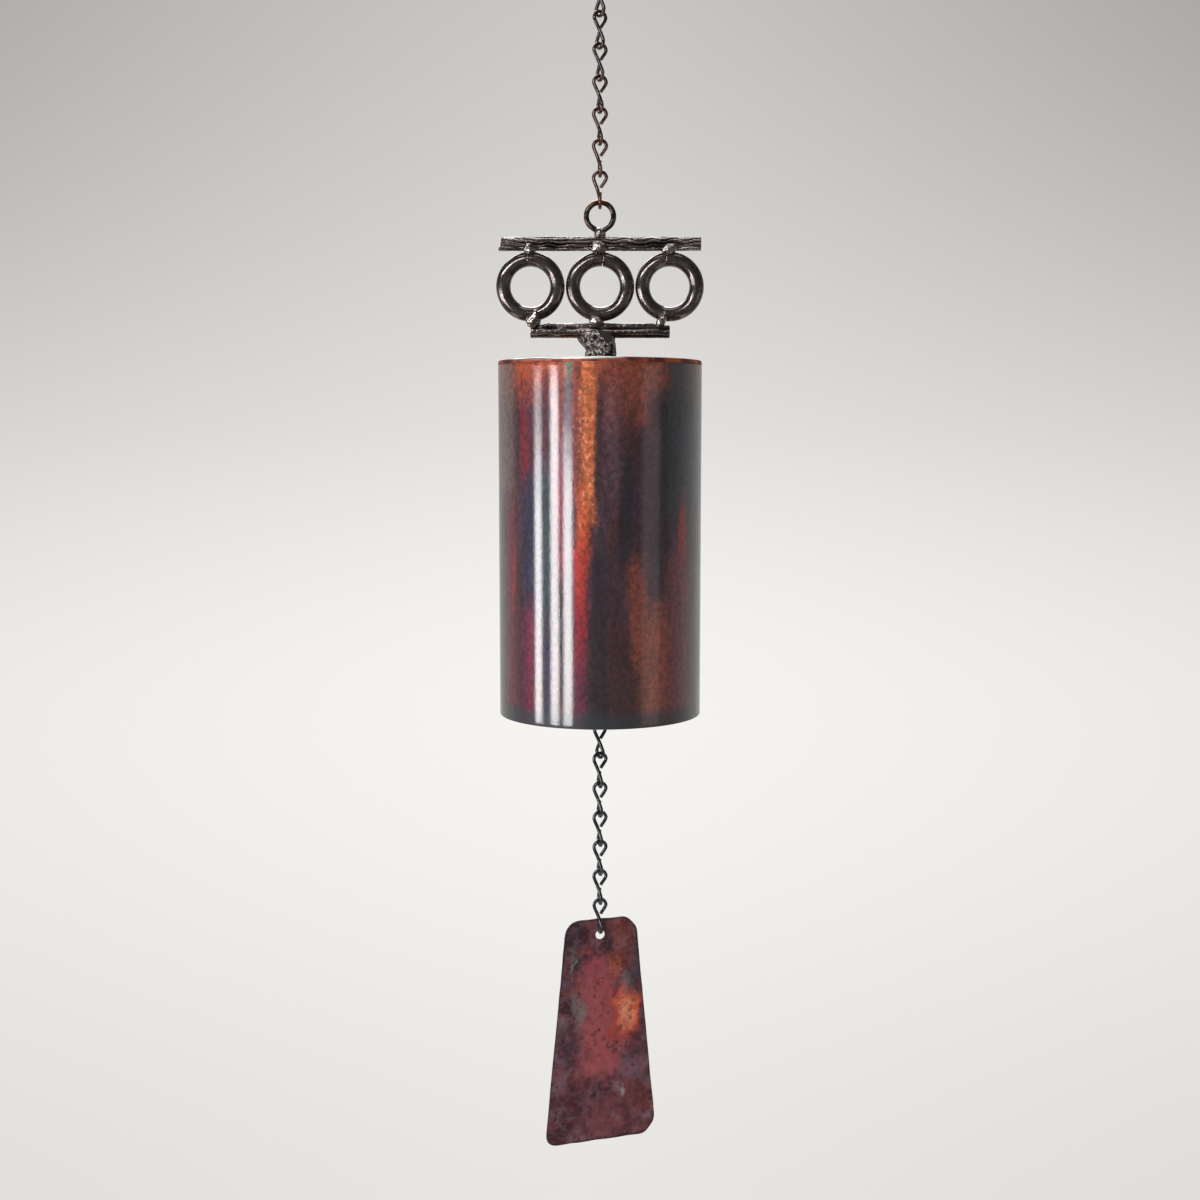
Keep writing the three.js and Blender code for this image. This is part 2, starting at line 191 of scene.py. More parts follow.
def flat_wire(name, path, diameter, turn, height=0.0, bulge=0.3, rough=0.0, seed=1):
    """Piece of wire whose path is bent in the XZ plane, then turned about the vertical and raised."""
    square_to_path = turned(np.array([0.0, 1, 0]), turn)
    rings = wire(turned(path, turn, height), diameter, square_to_path, rough=rough, seed=seed)
    return surface(name, rings, bulge=bulge)


def fit(piece, material, body, node):
    """Gives the piece its material and puts it in the place of a frame node, on that node's body."""
    piece.data.materials.append(material)
    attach(piece, body)
    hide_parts(node)


def colour(code):
    """Linear colour of an sRGB hex code."""
    part = np.array([int(code[i : i + 2], 16) / 255 for i in (0, 2, 4)])
    linear = np.where(part <= 0.04045, part / 12.92, ((part + 0.055) / 1.055) ** 2.4)
    return (*linear.tolist(), 1.0)


class Nodes:
    """Short ways to add nodes to one node tree. A value is a number, a colour or a socket."""

    def __init__(self, tree):
        self.tree = tree

    def feed(self, socket, value):
        if isinstance(value, bpy.types.NodeSocket):
            self.tree.links.new(value, socket)
        else:
            socket.default_value = value

    def add(self, kind, inputs=None, **settings):
        node = self.tree.nodes.new(kind)
        for key, value in settings.items():
            setattr(node, key, value)
        for key, value in (inputs or {}).items():
            self.feed(node.inputs[key], value)
        return node

    def maths(self, operation, *values):
        return self.add("ShaderNodeMath", dict(enumerate(values)), operation=operation).outputs[0]

    def plus(self, one, other):
        return self.maths("ADD", one, other)

    def minus(self, one, other):
        return self.maths("SUBTRACT", one, other)

    def times(self, one, other):
        return self.maths("MULTIPLY", one, other)

    def over(self, one, other):
        return self.maths("DIVIDE", one, other)

    def blend(self, amount, low, high, mode="MIX"):
        inputs = {0: amount, 6: low, 7: high}
        return self.add("ShaderNodeMix", inputs, data_type="RGBA", blend_type=mode).outputs[2]

    def lay(self, mask, strength, below, above):
        """The colour below with the colour above laid on it, as far as mask times strength says."""
        return self.blend(self.times(mask, strength), below, above)

    def span(self, value, low, high, to_low=0.0, to_high=1.0):
        inputs = {0: value, 1: low, 2: high, 3: to_low, 4: to_high}
        return self.add("ShaderNodeMapRange", inputs, interpolation_type="SMOOTHSTEP").outputs[0]

    def noise(self, place, millimetres, detail=3.0, rough=0.55):
        inputs = {"Vector": place, "Scale": 1000 / millimetres, "Detail": detail, "Roughness": rough}
        return self.add("ShaderNodeTexNoise", inputs).outputs[0]

    def wander(self, cloud, reach):
        """A cloud between 0 and 1 as a shift to either side, half of reach at the most."""
        return self.times(self.minus(cloud, 0.5), reach)

    def place(self, stretch=(1, 1, 1)):
        there = self.add("ShaderNodeTexCoord").outputs["Object"]
        return self.add("ShaderNodeMapping", {"Vector": there, "Scale": stretch}).outputs[0]

    def mark(self, name):
        return self.add("ShaderNodeAttribute", attribute_name=name).outputs["Fac"]

    def bump(self, height, millimetres, under=None):
        inputs = {"Height": height, "Strength": 1.0, "Distance": millimetres / 1000}
        if under is not None:
            inputs["Normal"] = under
        return self.add("ShaderNodeBump", inputs).outputs[0]


def metal_grain():
    """Node group for the unevenness of worked metal: broad blotches, fine specks and a relief, all
    from noise whose grain is given in millimetres."""
    tree = bpy.data.node_groups.new("metal_grain", "ShaderNodeTree")
    tree.interface.new_socket("Place", in_out="INPUT", socket_type="NodeSocketVector")
    tree.interface.new_socket("Grain", in_out="INPUT", socket_type="NodeSocketFloat")
    for name in ("Blotches", "Specks", "Relief"):
        tree.interface.new_socket(name, in_out="OUTPUT", socket_type="NodeSocketFloat")
    n = Nodes(tree)
    given = n.add("NodeGroupInput").outputs
    scale = n.over(1000.0, given["Grain"])

    def cloud(share, detail):
        inputs = {"Vector": given["Place"], "Scale": n.times(scale, share), "Detail": detail}
        return n.add("ShaderNodeTexNoise", inputs).outputs[0]

    result = {
        "Blotches": n.span(cloud(1.0, 3.0), 0.35, 0.65),
        "Specks": n.span(cloud(5.0, 2.0), 0.56, 0.72),
        "Relief": cloud(2.6, 4.0),
    }
    n.add("NodeGroupOutput", result)
    return tree


GRAIN = metal_grain()


def grained(n, grain, stretch=(1, 1, 1)):
    """Outputs of a metal_grain group that reads Object coordinates, with its grain in millimetres."""
    given = {"Place": n.place(stretch), "Grain": grain}
    return n.add("ShaderNodeGroup", given, node_tree=GRAIN).outputs


def finish(name, metallic, roughness, coat=0.0):
    """A node material, with its nodes and its Principled surface."""
    material = bpy.data.materials.new(name)
    material.use_nodes = True
    n = Nodes(material.node_tree)
    skin = material.node_tree.nodes["Principled BSDF"]
    skin.inputs["Metallic"].default_value = metallic
    skin.inputs["Roughness"].default_value = roughness
    skin.inputs["Coat Weight"].default_value = coat
    return material, n, skin


def cover(n, skin, shade, roughness, normal):
    """Feeds a surface its colour, its roughness and its relief."""
    n.feed(skin.inputs["Base Color"], shade)
    n.feed(skin.inputs["Roughness"], roughness)
    n.feed(skin.inputs["Normal"], normal)


def plain_metal(name, base, tint, dark, grain, roughness, relief, spread=0.2):
    """A worked metal: base colour blotched with a tint and specked with a dark, rougher in blotches."""
    material, n, skin = finish(name, 1.0, roughness)
    made = grained(n, grain)
    shade = n.blend(made["Blotches"], colour(base), colour(tint))
    shade = n.lay(made["Specks"], 0.7, shade, colour(dark))
    worn = n.span(made["Blotches"], 0, 1, roughness, roughness + spread)
    cover(n, skin, shade, worn, n.bump(made["Relief"], relief))
    return material


bare_steel = plain_metal("bare_steel", "a4a6a6", "858687", "4c4a48", 3.0, 0.3, 0.05)

upper_bend = bend(HOOK_TOP - HOOK_UPPER_BEND, HOOK_UPPER_BEND, *HOOK_UPPER_ARC)
lower_bend = bend(HOOK_TOP - HOOK_SPAN + HOOK_LOWER_BEND, HOOK_LOWER_BEND, *HOOK_LOWER_ARC)
hook_path = spline(np.concatenate([upper_bend, lower_bend]), 12)
s_hook = flat_wire("hook_wire", hook_path, HOOK_WIRE, HOOK_TURN)
fit(s_hook, bare_steel, "hook", "s_hook")


# Upper chain
# Seven jack chain links. Each is one steel wire bent into two eyes that stand square to each
# other. The heat of welding left them brown-black. The copper tint towards the bell, on the side
# that faces down and right, is partly heat colour and partly a painted warm reflection.

CHAIN_WIRE = 1.57
CHAIN_PITCH = 13.4
LINK_OVERLAP = 1.87
LINK_SPAN = CHAIN_PITCH + LINK_OVERLAP
LINK_EYE = 2.765
LINK_CROSSING = 1.1
LINK_END_OFFSET = 0.39
LINK_END_DROP = 6.595
UPPER_CHAIN_TOP = -26.415
UPPER_TURNS = (36, 30, 24, 18, 12, 6, 0)
# The side that the copper tint and the painted warm reflection face.
TINT_AND_SHEEN_SIDE = (0.75, -0.26, -0.6)


def link_path(lower_offset=LINK_END_OFFSET):
    """Centre line of a link: up round the upper eye, across the middle, down round the lower eye,
    which is the upper one mirrored in height and turned a quarter turn."""

    def eye(offset):
        return np.concatenate([[[offset, 0, -LINK_END_DROP]], bend(-LINK_EYE, LINK_EYE, 0, 180)])

    lower = eye(lower_offset)[::-1, [1, 0, 2]] * [1, 1, -1] - [0, 0, LINK_SPAN]
    middle = [[-LINK_CROSSING, -LINK_CROSSING, -LINK_SPAN / 2]]
    return spline(np.concatenate([eye(LINK_END_OFFSET), middle, lower]), 10)


def chain(name, top, turns, metal, seed, last_offset=LINK_END_OFFSET):
    """Hangs links one pitch apart, the first by its upper eye at the height top, each turned about
    the vertical by its own angle. The wire's lower end stands off by last_offset in the last link.
    A mark on the skin says how far it looks towards the side of the tint and painted sheen,
    from -1 to 1."""
    for number, turn in enumerate(turns, 1):
        node = f"{name}_link_{number}"
        path = link_path(last_offset if number == len(turns) else LINK_END_OFFSET)
        upright = wire(path, CHAIN_WIRE, (1, 1, 0), sides=22, rough=0.02, seed=seed + number)
        rings = turned(upright, turn, top - CHAIN_PITCH * (number - 1))
        looking = unit(rings - rings.mean(1, keepdims=True)) @ np.array(TINT_AND_SHEEN_SIDE)
        fit(surface(f"{node}_wire", rings, warm_side=looking), metal, node, node)


def chain_metal(name, dark, warm, edge, glow, low, high):
    """Chain wire: nearly black, browner in patches, tinted with the edge colour on the side that its
    mark picks out: partly heat colour and partly a painted sheen and warm reflection. The tint
    grows from the height high down to the height low, in millimetres."""
    material, n, skin = finish(name, 0.85, 0.3, 0.3)
    made = grained(n, 2.2)
    shade = n.blend(made["Blotches"], colour(dark), colour(warm))
    height = n.add("ShaderNodeSeparateXYZ", {0: n.place()}).outputs["Z"]
    # Painted sheen and warm reflection, with heat colour, on the marked side.
    warm_side = n.span(n.mark("warm_side"), 0.15, 0.85)
    heated = n.span(height, high / 1000, low / 1000, 0.0, glow)
    shade = n.lay(warm_side, heated, shade, colour(edge))
    worn = n.span(made["Blotches"], 0, 1, 0.16, 0.32)
    cover(n, skin, shade, worn, n.bump(made["Relief"], 0.006))
    return material


dark_chain = chain_metal("dark_chain", "383230", "645349", "b8643c", 0.6, -115, -50)
chain("upper", UPPER_CHAIN_TOP, UPPER_TURNS, dark_chain, 0)


# Hanger eye and its weld
# A loop of thicker wire, copper-coloured round its outside, whose two legs are welded side by
# side to the top bar. The copper round the outside is partly heat colour and partly a painted
# rim light. A bead of weld fills the neck in front of them.

EYE_WIRE = 2.4
EYE_BEND = 5.9
EYE_NECK = 1.35
EYE_TOP = -119.8
EYE_LEG = (-14.2, -12.4)
EYE_ARC = (218, -38)
EYE_CLEAR_OF_NECK = 5.0
NECK_BEAD_AT = (0.0, -1.7, -133.0)
NECK_BEAD_SIZE = (4.6, 4.1, 4.6)
# First and last row of a bead, in degrees from its top, and the number of rows.
LUMP_ROWS = (5, 175, 44)
LUMP_SIDES = 72


def grid_of(x, y, z):
    """Rows x columns points from three arrays that spread to one shape."""
    return np.stack(np.broadcast_arrays(x, y, z), 2)


def lump(name, at, size, seed, tilt=0.0, knobs=(), rough=0.07):
    """A bead of weld: an ellipsoid whose radius is uneven in two sizes of ripple. Each knob is a
    direction, a height in millimetres and a width in degrees, and swells the bead that way with a
    bell-shaped rise. tilt leans the bead in its front view, in degrees."""
    polar = np.radians(np.linspace(*LUMP_ROWS))[:, None]
    round_ = circle(LUMP_SIDES)[None, :]
    ways = grid_of(np.sin(polar) * np.cos(round_), np.sin(polar) * np.sin(round_), np.cos(polar))
    half = np.array(size) / 2
    uneven = ripples(ways * half, 2.6, seed) + 0.4 * ripples(ways * half, 1.0, seed + 50)
    swell = 1 + rough * uneven
    points = ways * half * swell[..., None]
    for way, height, width in knobs:
        way = unit(np.array(way))
        off = np.degrees(np.arccos(np.clip(ways @ way, -1, 1)))
        points += ways * (height * np.exp(-((off / width) ** 2)))[..., None]
    a = math.radians(tilt)
    lean = np.array([[math.cos(a), 0, -math.sin(a)], [0, 1, 0], [math.sin(a), 0, math.cos(a)]])
    return surface(name, points @ lean + np.array(at), bulge=0.02)


def bronze(name, ridge, patch, groove, roughness, relief, stretch=(1, 1, 1)):
    """Dark heat-coloured steel: ridge and patch colours in blotches, and a dull groove colour
    where the groove mark is high."""
    material, n, skin = finish(name, 0.95, roughness, 0.35)
    made = grained(n, 2.4, stretch)
    shade = n.blend(made["Blotches"], colour(ridge), colour(patch))
    shade = n.lay(made["Specks"], 0.6, shade, colour(groove))
    sunk = n.span(n.mark("groove"), 0.25, 0.8)
    shade = n.blend(sunk, shade, colour(groove))
    worn = n.span(made["Blotches"], 0, 1, roughness, roughness + 0.1)
    worn = n.plus(worn, n.times(sunk, 0.3))
    cover(n, skin, shade, worn, n.bump(made["Relief"], relief))
    return material


leg = np.array([[-EYE_NECK, 0, level] for level in EYE_LEG])
loop = bend(-EYE_BEND, EYE_BEND, *EYE_ARC)
hanger_eye_path = spline(np.concatenate([leg, loop, leg[::-1] * [-1, 1, 1]]), 10)
eye_rings = wire(turned(hanger_eye_path, 0, EYE_TOP), EYE_WIRE, sides=32, rough=0.03, seed=21)
# The copper tint, partly heat colour and partly a painted rim light, is the cube of how far out
# on the loop the skin lies, and fades at the neck.
outward = np.linalg.norm(eye_rings - [0, 0, EYE_TOP - EYE_BEND], axis=2) - EYE_BEND
clear_of_neck = np.clip((eye_rings[..., 2] - EYE_TOP + 2 * EYE_BEND) / EYE_CLEAR_OF_NECK, 0, 1)
copper_and_rim_light = clear_of_neck * (2 * outward / EYE_WIRE) ** 3
hanger_eye = surface("hanger_eye_wire", eye_rings, warm_side=copper_and_rim_light)
eye_metal = chain_metal("eye_metal", "2e2723", "5a4c42", "c8703f", 0.75, -118, -110)
fit(hanger_eye, eye_metal, "bell", "hanger_eye")
weld_metal = plain_metal("weld_metal", "968d87", "bcb5af", "2a2421", 2.0, 0.12, 0.09, spread=0.12)
neck_bead = lump("neck_bead", NECK_BEAD_AT, NECK_BEAD_SIZE, 3)
fit(neck_bead, weld_metal, "bell", "hanger_eye_weld")


# Top bar
# Round bar forged with lengthwise grooves like bark, cut off square at the right and left ragged
# at the left. Its ridges are coloured light and its grooves dark.

# Lengths in mm, the number of ridges, their phase in degrees and how much they wander.
TOP_BAR = {"diameter": 6.2, "length": 87.3, "ridges": 11, "depth": 0.8, "phase": 20, "wander": 1.7}
TOP_BAR_RAGGED = 1.3
BAR_STEPS = 460
BAR_SIDES = 150
GROOVE_SHARPNESS = 1.8
PITTING = 0.1


def heights(node):
    """Lowest and highest level of a frame node, in millimetres."""
    low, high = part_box(node)
    return 1000 * low[2], 1000 * high[2]


bar_metal = bronze("bar_metal", "a89c99", "3c3333", "131011", 0.14, 0.05, (0.14, 1, 1))


def bark_bar(node, diameter, length, ridges, depth, phase, wander, ragged, seed, thin=0.0):
    """Bar along X with grooves that wander round it, halfway up its frame node.

    The groove depth is a cosine of the angle times the number of ridges, sharpened by a power. Its
    phase, in degrees, ripples along the bar by wander. ragged pushes the left end in at the top,
    and thin lowers the upper ridge over the last part of each end. The groove mark fades where the
    ragged end is bare, so that it takes the ridge colour: bare metal with a painted highlight.
    """
    x = np.linspace(-length / 2, length / 2, BAR_STEPS)[:, None]
    angle = circle(BAR_SIDES)[None, :]
    radius = diameter / 2
    skin = grid_of(x, radius * np.cos(angle), radius * np.sin(angle))
    drift = wander * (1.4 * ripples(skin, 20, seed) + 0.9 * ripples(skin, 7, seed + 1))
    valley = 0.5 - 0.5 * np.cos(ridges * angle + math.radians(phase) + drift)
    valley = valley**GROOVE_SHARPNESS * (0.8 + 0.3 * ripples(skin, 9, seed + 2))
    pits = PITTING * (1 + ripples(skin, 2.0, seed + 3)) / 2
    cut = depth * np.clip(valley, 0, 1.1) + pits
    worn = np.clip((np.abs(x) - length / 2 + 7.5) / 4, 0, 1) * np.clip(np.sin(angle), 0, 1) ** 2
    size = radius - cut - thin * worn
    push = ragged * (0.55 + 0.45 * np.sin(angle) + 0.35 * ripples(skin, 2.2, seed + 4))
    x = x + push * np.clip((-length / 2 + 6 - x) / 6, 0, 1)
    # The ragged end is lighter: bare metal, with a painted highlight.
    bare_and_highlit = min(ragged, 1.0) * np.clip((-length / 2 + 4 - x) / 3, 0, 1)
    points = grid_of(x, size * np.cos(angle), size * np.sin(angle))
    points += [0, 0, sum(heights(node)) / 2]
    groove = np.clip(valley, 0, 1) * (1 - bare_and_highlit)
    bar = surface(f"{node}_round", points, bulge=0.15, groove=groove)
    fit(bar, bar_metal, "bell", node)


bark_bar("top_bar", **TOP_BAR, ragged=TOP_BAR_RAGGED, seed=31)


# Rings
# Three rings of quarter-inch steel bar, each bent to meet itself with a slit at the top, polished
# and welded side by side between the bars.

RING_BEND = 11.76
RING_ROD = 6.3
RING_CENTRE = -155.75
RING_STEP = 2.0
SLIT_REACH = 2.0
SLIT_INNER_SIDE = -1.7
SLIT_INNER_FADE = 0.8
SLIT_CLOSED = 0.47
# Place along the bar in mm, angle of the slit in degrees, width of the slit in mm.
RINGS = {"left": (-30.2, 97, 0.22), "centre": (0.0, 84, 0.75), "right": (30.2, 98, 0.26)}

ring_metal = bronze("ring_metal", "7e7573", "5b5351", "2c2829", 0.14, 0.022)
for number, (side, (x, split, gap)) in enumerate(RINGS.items()):
    half_gap = math.degrees(gap / 2 / RING_BEND)
    arc = bend(RING_CENTRE, RING_BEND, split + half_gap, split + 360 - half_gap, RING_STEP)
    rings = wire(arc, RING_ROD, sides=72, rough=0.012, seed=40 + number)
    out = np.linalg.norm(rings - [0, 0, RING_CENTRE], axis=2) - RING_BEND
    from_end = np.arange(len(arc))[:, None] * math.radians(RING_STEP) * RING_BEND
    near = np.exp(-from_end / SLIT_REACH) - np.exp(-from_end[::-1] / SLIT_REACH)
    # Near the slit the rod is bent on until it almost closes, except at the ring's inner side.
    outer_part = np.clip((out - SLIT_INNER_SIDE) / SLIT_INNER_FADE, 0, 1)
    close = -near * outer_part * gap * SLIT_CLOSED / RING_BEND
    level = rings[..., 2] - RING_CENTRE
    across, up = rings[..., 0] - level * close, level + rings[..., 0] * close
    rings = np.stack([across, rings[..., 1], up + RING_CENTRE], 2)
    ring = surface(f"ring_{side}_rod", rings + [x, 0, 0], bulge=0.12, groove=0.0)
    fit(ring, ring_metal, "bell", f"ring_{side}")


# Ring welds
# A bead at the front and one at the back of every joint between a ring and a bar, bright where
# the wire brush reached.

TOP_JOINT = -140.65
BOTTOM_JOINT = -170.85
BEAD_FORWARD = 2.3
BEAD_DEPTH = 4.6
BACK_BEAD_TALLEST = 6.0
# Aside from the ring's middle, above the joint, width and height in mm, lean in degrees, knobs.
BEADS = {
    "top_left": (-0.4, 1.0, 5.2, 5.2, 10, ()),
    "top_centre": (-0.6, 1.6, 6.8, 5.6, 0, (((1, -0.4, -0.5), 0.5, 30),)),
    "top_right": (-0.3, 0.8, 6.2, 4.8, -12, ()),
    "bottom_left": (1.2, 0.3, 6.2, 6.0, 0, (((0.34, -0.2, 1.0), 1.9, 26),)),
    "bottom_centre": (-1.4, 0.2, 6.4, 4.8, 8, ()),
    "bottom_right": (-3.4, 0.9, 3.9, 8.0, 27, ()),
}

for number, (joint, (aside, above, width, tall, lean, knobs)) in enumerate(BEADS.items()):
    row, side = joint.split("_")
    level = (TOP_JOINT if row == "top" else BOTTOM_JOINT) + above
    x = RINGS[side][0] + aside
    size = (width, BEAD_DEPTH, tall)
    front = lump(f"bead_{joint}_front", (x, -BEAD_FORWARD, level), size, 60 + number, lean, knobs)
    size = (width, BEAD_DEPTH, min(tall, BACK_BEAD_TALLEST))
    back = lump(f"bead_{joint}_back", (x, BEAD_FORWARD, level), size, 80 + number)
    fit(front, weld_metal, "bell", f"weld_{joint}_front")
    fit(back, weld_metal, "bell", f"weld_{joint}_back")


# Bottom bar
# A shorter and thicker steel bar with deeper, straighter grooves, welded to the rings. Its upper
# ridge is worn down towards the ends.

BOTTOM_BAR = {"diameter": 6.8, "length": 60.5, "ridges": 5, "depth": 1.15, "phase": 75, "wander": 0.3}
BOTTOM_BAR_RAGGED = 0.4
BOTTOM_BAR_WORN = 1.3

bark_bar("bottom_bar", **BOTTOM_BAR, ragged=BOTTOM_BAR_RAGGED, seed=37, thin=BOTTOM_BAR_WORN)


# Stem and its foot weld
# The post between the bottom bar and the bell. Weld is built up over its head and down its front,
# one facet on the right was ground smooth, and a fillet of weld holds it to the top plate.

PLATE_TOP = heights("top_plate")[1]
STEM_TOP = heights("stem")[1]
UNDER_BAR = 1.6
STEM_SHOULDER = 1.5
STEM_FALL = 7.5
STEM_ROWS = 70
STEM_SIDES = 140
STEM_FOOT = PLATE_TOP + 0.15
# Reach to each side at the bar and at the foot.
STEM_LEFT = (10.7, 6.5)
STEM_RIGHT = (6.1, 7.1)
STEM_FRONT = 6.0
FACET_WAY = (0.52, -0.78, 0.34)
FACET_REACH = 6.1
FACET_SOFT = 0.4
# Inner and outer radius of the foot weld.
FOOT_WELD = (6.9, 8.8)
FOOT_WELD_HEIGHT = 1.9
FOOT_WELD_GAP = 0.05
FOOT_WELD_UNEVEN = 0.02

# The reach from the axis is the front's, drawn to the left's and the right's by a power of the
# cosine of the angle, the left's less beside the bar. Both pass in an S-curve from their value at
# the bar to that at the foot.
# Ripples of two sizes go on top, and what lies beyond the facet's plane is brought back to it.
height = np.linspace(STEM_TOP, STEM_FOOT, STEM_ROWS)[:, None]
angle = circle(STEM_SIDES)[None, :]
fall = np.clip((STEM_TOP - STEM_SHOULDER - height) / STEM_FALL, 0, 1)
fall = fall * fall * (3 - 2 * fall)
under_bar = np.clip((STEM_TOP - UNDER_BAR - height) / UNDER_BAR, 0, 1)
leftward = np.clip(-np.cos(angle), 0, 1) ** 1.6 * (0.35 + 0.65 * under_bar)
rightward = np.clip(np.cos(angle), 0, 1) ** 1.6
reach = (
    STEM_FRONT
    + (STEM_LEFT[0] + (STEM_LEFT[1] - STEM_LEFT[0]) * fall - STEM_FRONT) * leftward
    + (STEM_RIGHT[0] + (STEM_RIGHT[1] - STEM_RIGHT[0]) * fall - STEM_FRONT) * rightward
)
skin = grid_of(reach * np.cos(angle), reach * np.sin(angle), height)
reach = reach + 0.3 * ripples(skin, 3.4, 91) + 0.16 * ripples(skin, 1.2, 92)
skin = grid_of(reach * np.cos(angle), reach * np.sin(angle), height)
facet = unit(np.array(FACET_WAY))
beyond = np.clip((skin - [0, 0, (STEM_TOP + STEM_FOOT) / 2]) @ facet - FACET_REACH, 0, None)
skin = skin - beyond[..., None] * facet
stem = surface("stem_post", skin, bulge=0.12, facet=np.clip(beyond / FACET_SOFT, 0, 1))

stem_metal, n, skin_shader = finish("stem_metal", 1.0, 0.34)
made = grained(n, 1.5)
flat_part = n.span(n.mark("facet"), 0.1, 0.7)
shade = n.blend(made["Blotches"], colour("3a3330"), colour("dcd5cf"))
shade = n.blend(made["Specks"], shade, colour("1b1817"))
shade = n.blend(flat_part, shade, colour("8c847e"))
rise = n.times(made["Relief"], n.span(flat_part, 0, 1, 1.0, 0.12))
cover(n, skin_shader, shade, n.span(flat_part, 0, 1, 0.12, 0.4), n.bump(rise, 0.75))
fit(stem, stem_metal, "bell", "stem")


def outline(corners, cuts, spacing, arc=7):
    """Closed 2-D outline with rounded corners. Each corner is a parabola between the points that
    lie its cut before and after it, and the straight runs are divided into steps of about spacing."""
    corners = np.asarray(corners, float)
    cuts = np.broadcast_to(np.asarray(cuts, float), len(corners))[:, None]
    before, after = np.roll(corners, 1, 0) - corners, np.roll(corners, -1, 0) - corners
    start = corners + cuts * unit(before)
    end = corners + cuts * unit(after)
    t = np.linspace(0, 1, arc)[:, None]
    runs = []
    for i, corner in enumerate(corners):
        runs.append((1 - t) ** 2 * start[i] + 2 * t * (1 - t) * corner + t**2 * end[i])
        onward = start[(i + 1) % len(corners)]
        count = max(1, math.ceil(np.linalg.norm(onward - end[i]) / spacing))
        runs.append(np.linspace(end[i], onward, count + 1)[1:-1])
    return np.concatenate(runs)


def lathe(profile, columns):
    """Grid of a profile of (radius, height) points turned about the vertical axis."""
    angle = circle(columns)[None, :]
    radius, level = np.asarray(profile)[:, :1], np.asarray(profile)[:, 1:]
    return grid_of(radius * np.cos(angle), radius * np.sin(angle), level)


def widened(grid, share):
    """The grid with every point moved away from the vertical axis by a share of its distance."""
    return grid * (1 + share[..., None] * [1, 1, 0])


fillet_corners = [
    (FOOT_WELD[0], PLATE_TOP + FOOT_WELD_GAP),
    (FOOT_WELD[1], PLATE_TOP + FOOT_WELD_GAP),
    (FOOT_WELD[0], PLATE_TOP + FOOT_WELD_HEIGHT),
]
fillet = lathe(outline(fillet_corners, (0.2, 0.5, 0.5), 0.25), 160)
fillet = widened(fillet, FOOT_WELD_UNEVEN * ripples(fillet, 1.8, 95))
foot_weld = surface("foot_fillet", fillet, joined=True)
fit(foot_weld, weld_metal, "bell", "stem_weld")


# Top plate
# A round steel plate that lies on the tube's end and is welded on round its edge. The heat of
# that weld and of the stem's left it blued and straw-coloured in rings.

PLATE_UNDER = heights("top_plate")[0]
PLATE_RADIUS = 43.0
PLATE_EDGE = 0.3
PLATE_MIDDLE = 1.5
HEAT_RINGS_REACH = 48.0
# Share of that reach, from the middle outwards, and colour.
HEAT_RINGS = (
    (0.0, "6c6763"),
    (0.24, "5a5f74"),
    (0.32, "6a4a63"),
    (0.4, "9a7448"),
    (0.5, "8d8880"),
    (0.75, "8b8782"),
    (0.86, "97754c"),
    (0.93, "74506a"),
    (1.0, "55607a"),
)


def colour_ramp(n, value, stops, curve="LINEAR"):
    """Colours over a value between 0 and 1, through stops of (value, colour)."""
    made = n.add("ShaderNodeValToRGB", {0: value})
    made.color_ramp.interpolation = curve
    for position, tint in stops[1:-1]:
        made.color_ramp.elements.new(position)
    for stop, (position, tint) in zip(made.color_ramp.elements, stops):
        stop.position, stop.color = position, tint
    return made.outputs[0]


def from_axis(n):
    """Distance from the vertical axis, in metres."""
    flat_place = n.place((1, 1, 0))
    return n.add("ShaderNodeVectorMath", {0: flat_place}, operation="LENGTH").outputs["Value"]


plate_profile = np.array(
    [(r, PLATE_UNDER) for r in np.linspace(PLATE_MIDDLE, PLATE_RADIUS - PLATE_EDGE, 40)]
    + [(PLATE_RADIUS, PLATE_UNDER + PLATE_EDGE), (PLATE_RADIUS, PLATE_TOP - PLATE_EDGE)]
    + [(r, PLATE_TOP) for r in np.linspace(PLATE_RADIUS - PLATE_EDGE, PLATE_MIDDLE, 60)]
)
top_plate = surface("plate_round", lathe(plate_profile, 192), bulge=0.0)
plate_metal, n, skin_shader = finish("plate_metal", 1.0, 0.36)
made = grained(n, 4.0)
uneven = n.times(n.noise(n.place(), 14), 6.0)
away = n.plus(n.times(from_axis(n), 1000.0), uneven)
heat_stops = [(share, colour(code)) for share, code in HEAT_RINGS]
heated = colour_ramp(n, n.over(away, HEAT_RINGS_REACH), heat_stops)
shade = n.lay(made["Blotches"], 0.4, heated, colour("4d4a49"))
shade = n.blend(made["Specks"], shade, colour("383533"))
worn = n.span(made["Blotches"], 0, 1, 0.3, 0.48)
cover(n, skin_shader, shade, worn, n.bump(made["Relief"], 0.06))
fit(top_plate, plate_metal, "bell", "top_plate")


# Top seam
# The weld that closes the joint between plate and tube, ground to a narrow rounded lip. Its top
# is bright over the front and left, partly ground steel and partly a painted highlight, and
# copper-coloured elsewhere.

SEAM_OUTER = 44.4
SEAM_INNER = 43.1
SEAM_BELOW_PLATE = 0.1
SEAM_LEAN = 0.1
SEAM_GAP = 0.02
SEAM_UNEVEN = 0.02
POLISH_DEPTH = 0.95
POLISH_FADE = 0.3
# Where the lip's painted highlight lies and over how much it fades, in degrees from the front.
SEAM_BRIGHT = (-60, 14)
SEAM_FADE = 8
RIM, TUBE_TOP = heights("bell_tube")

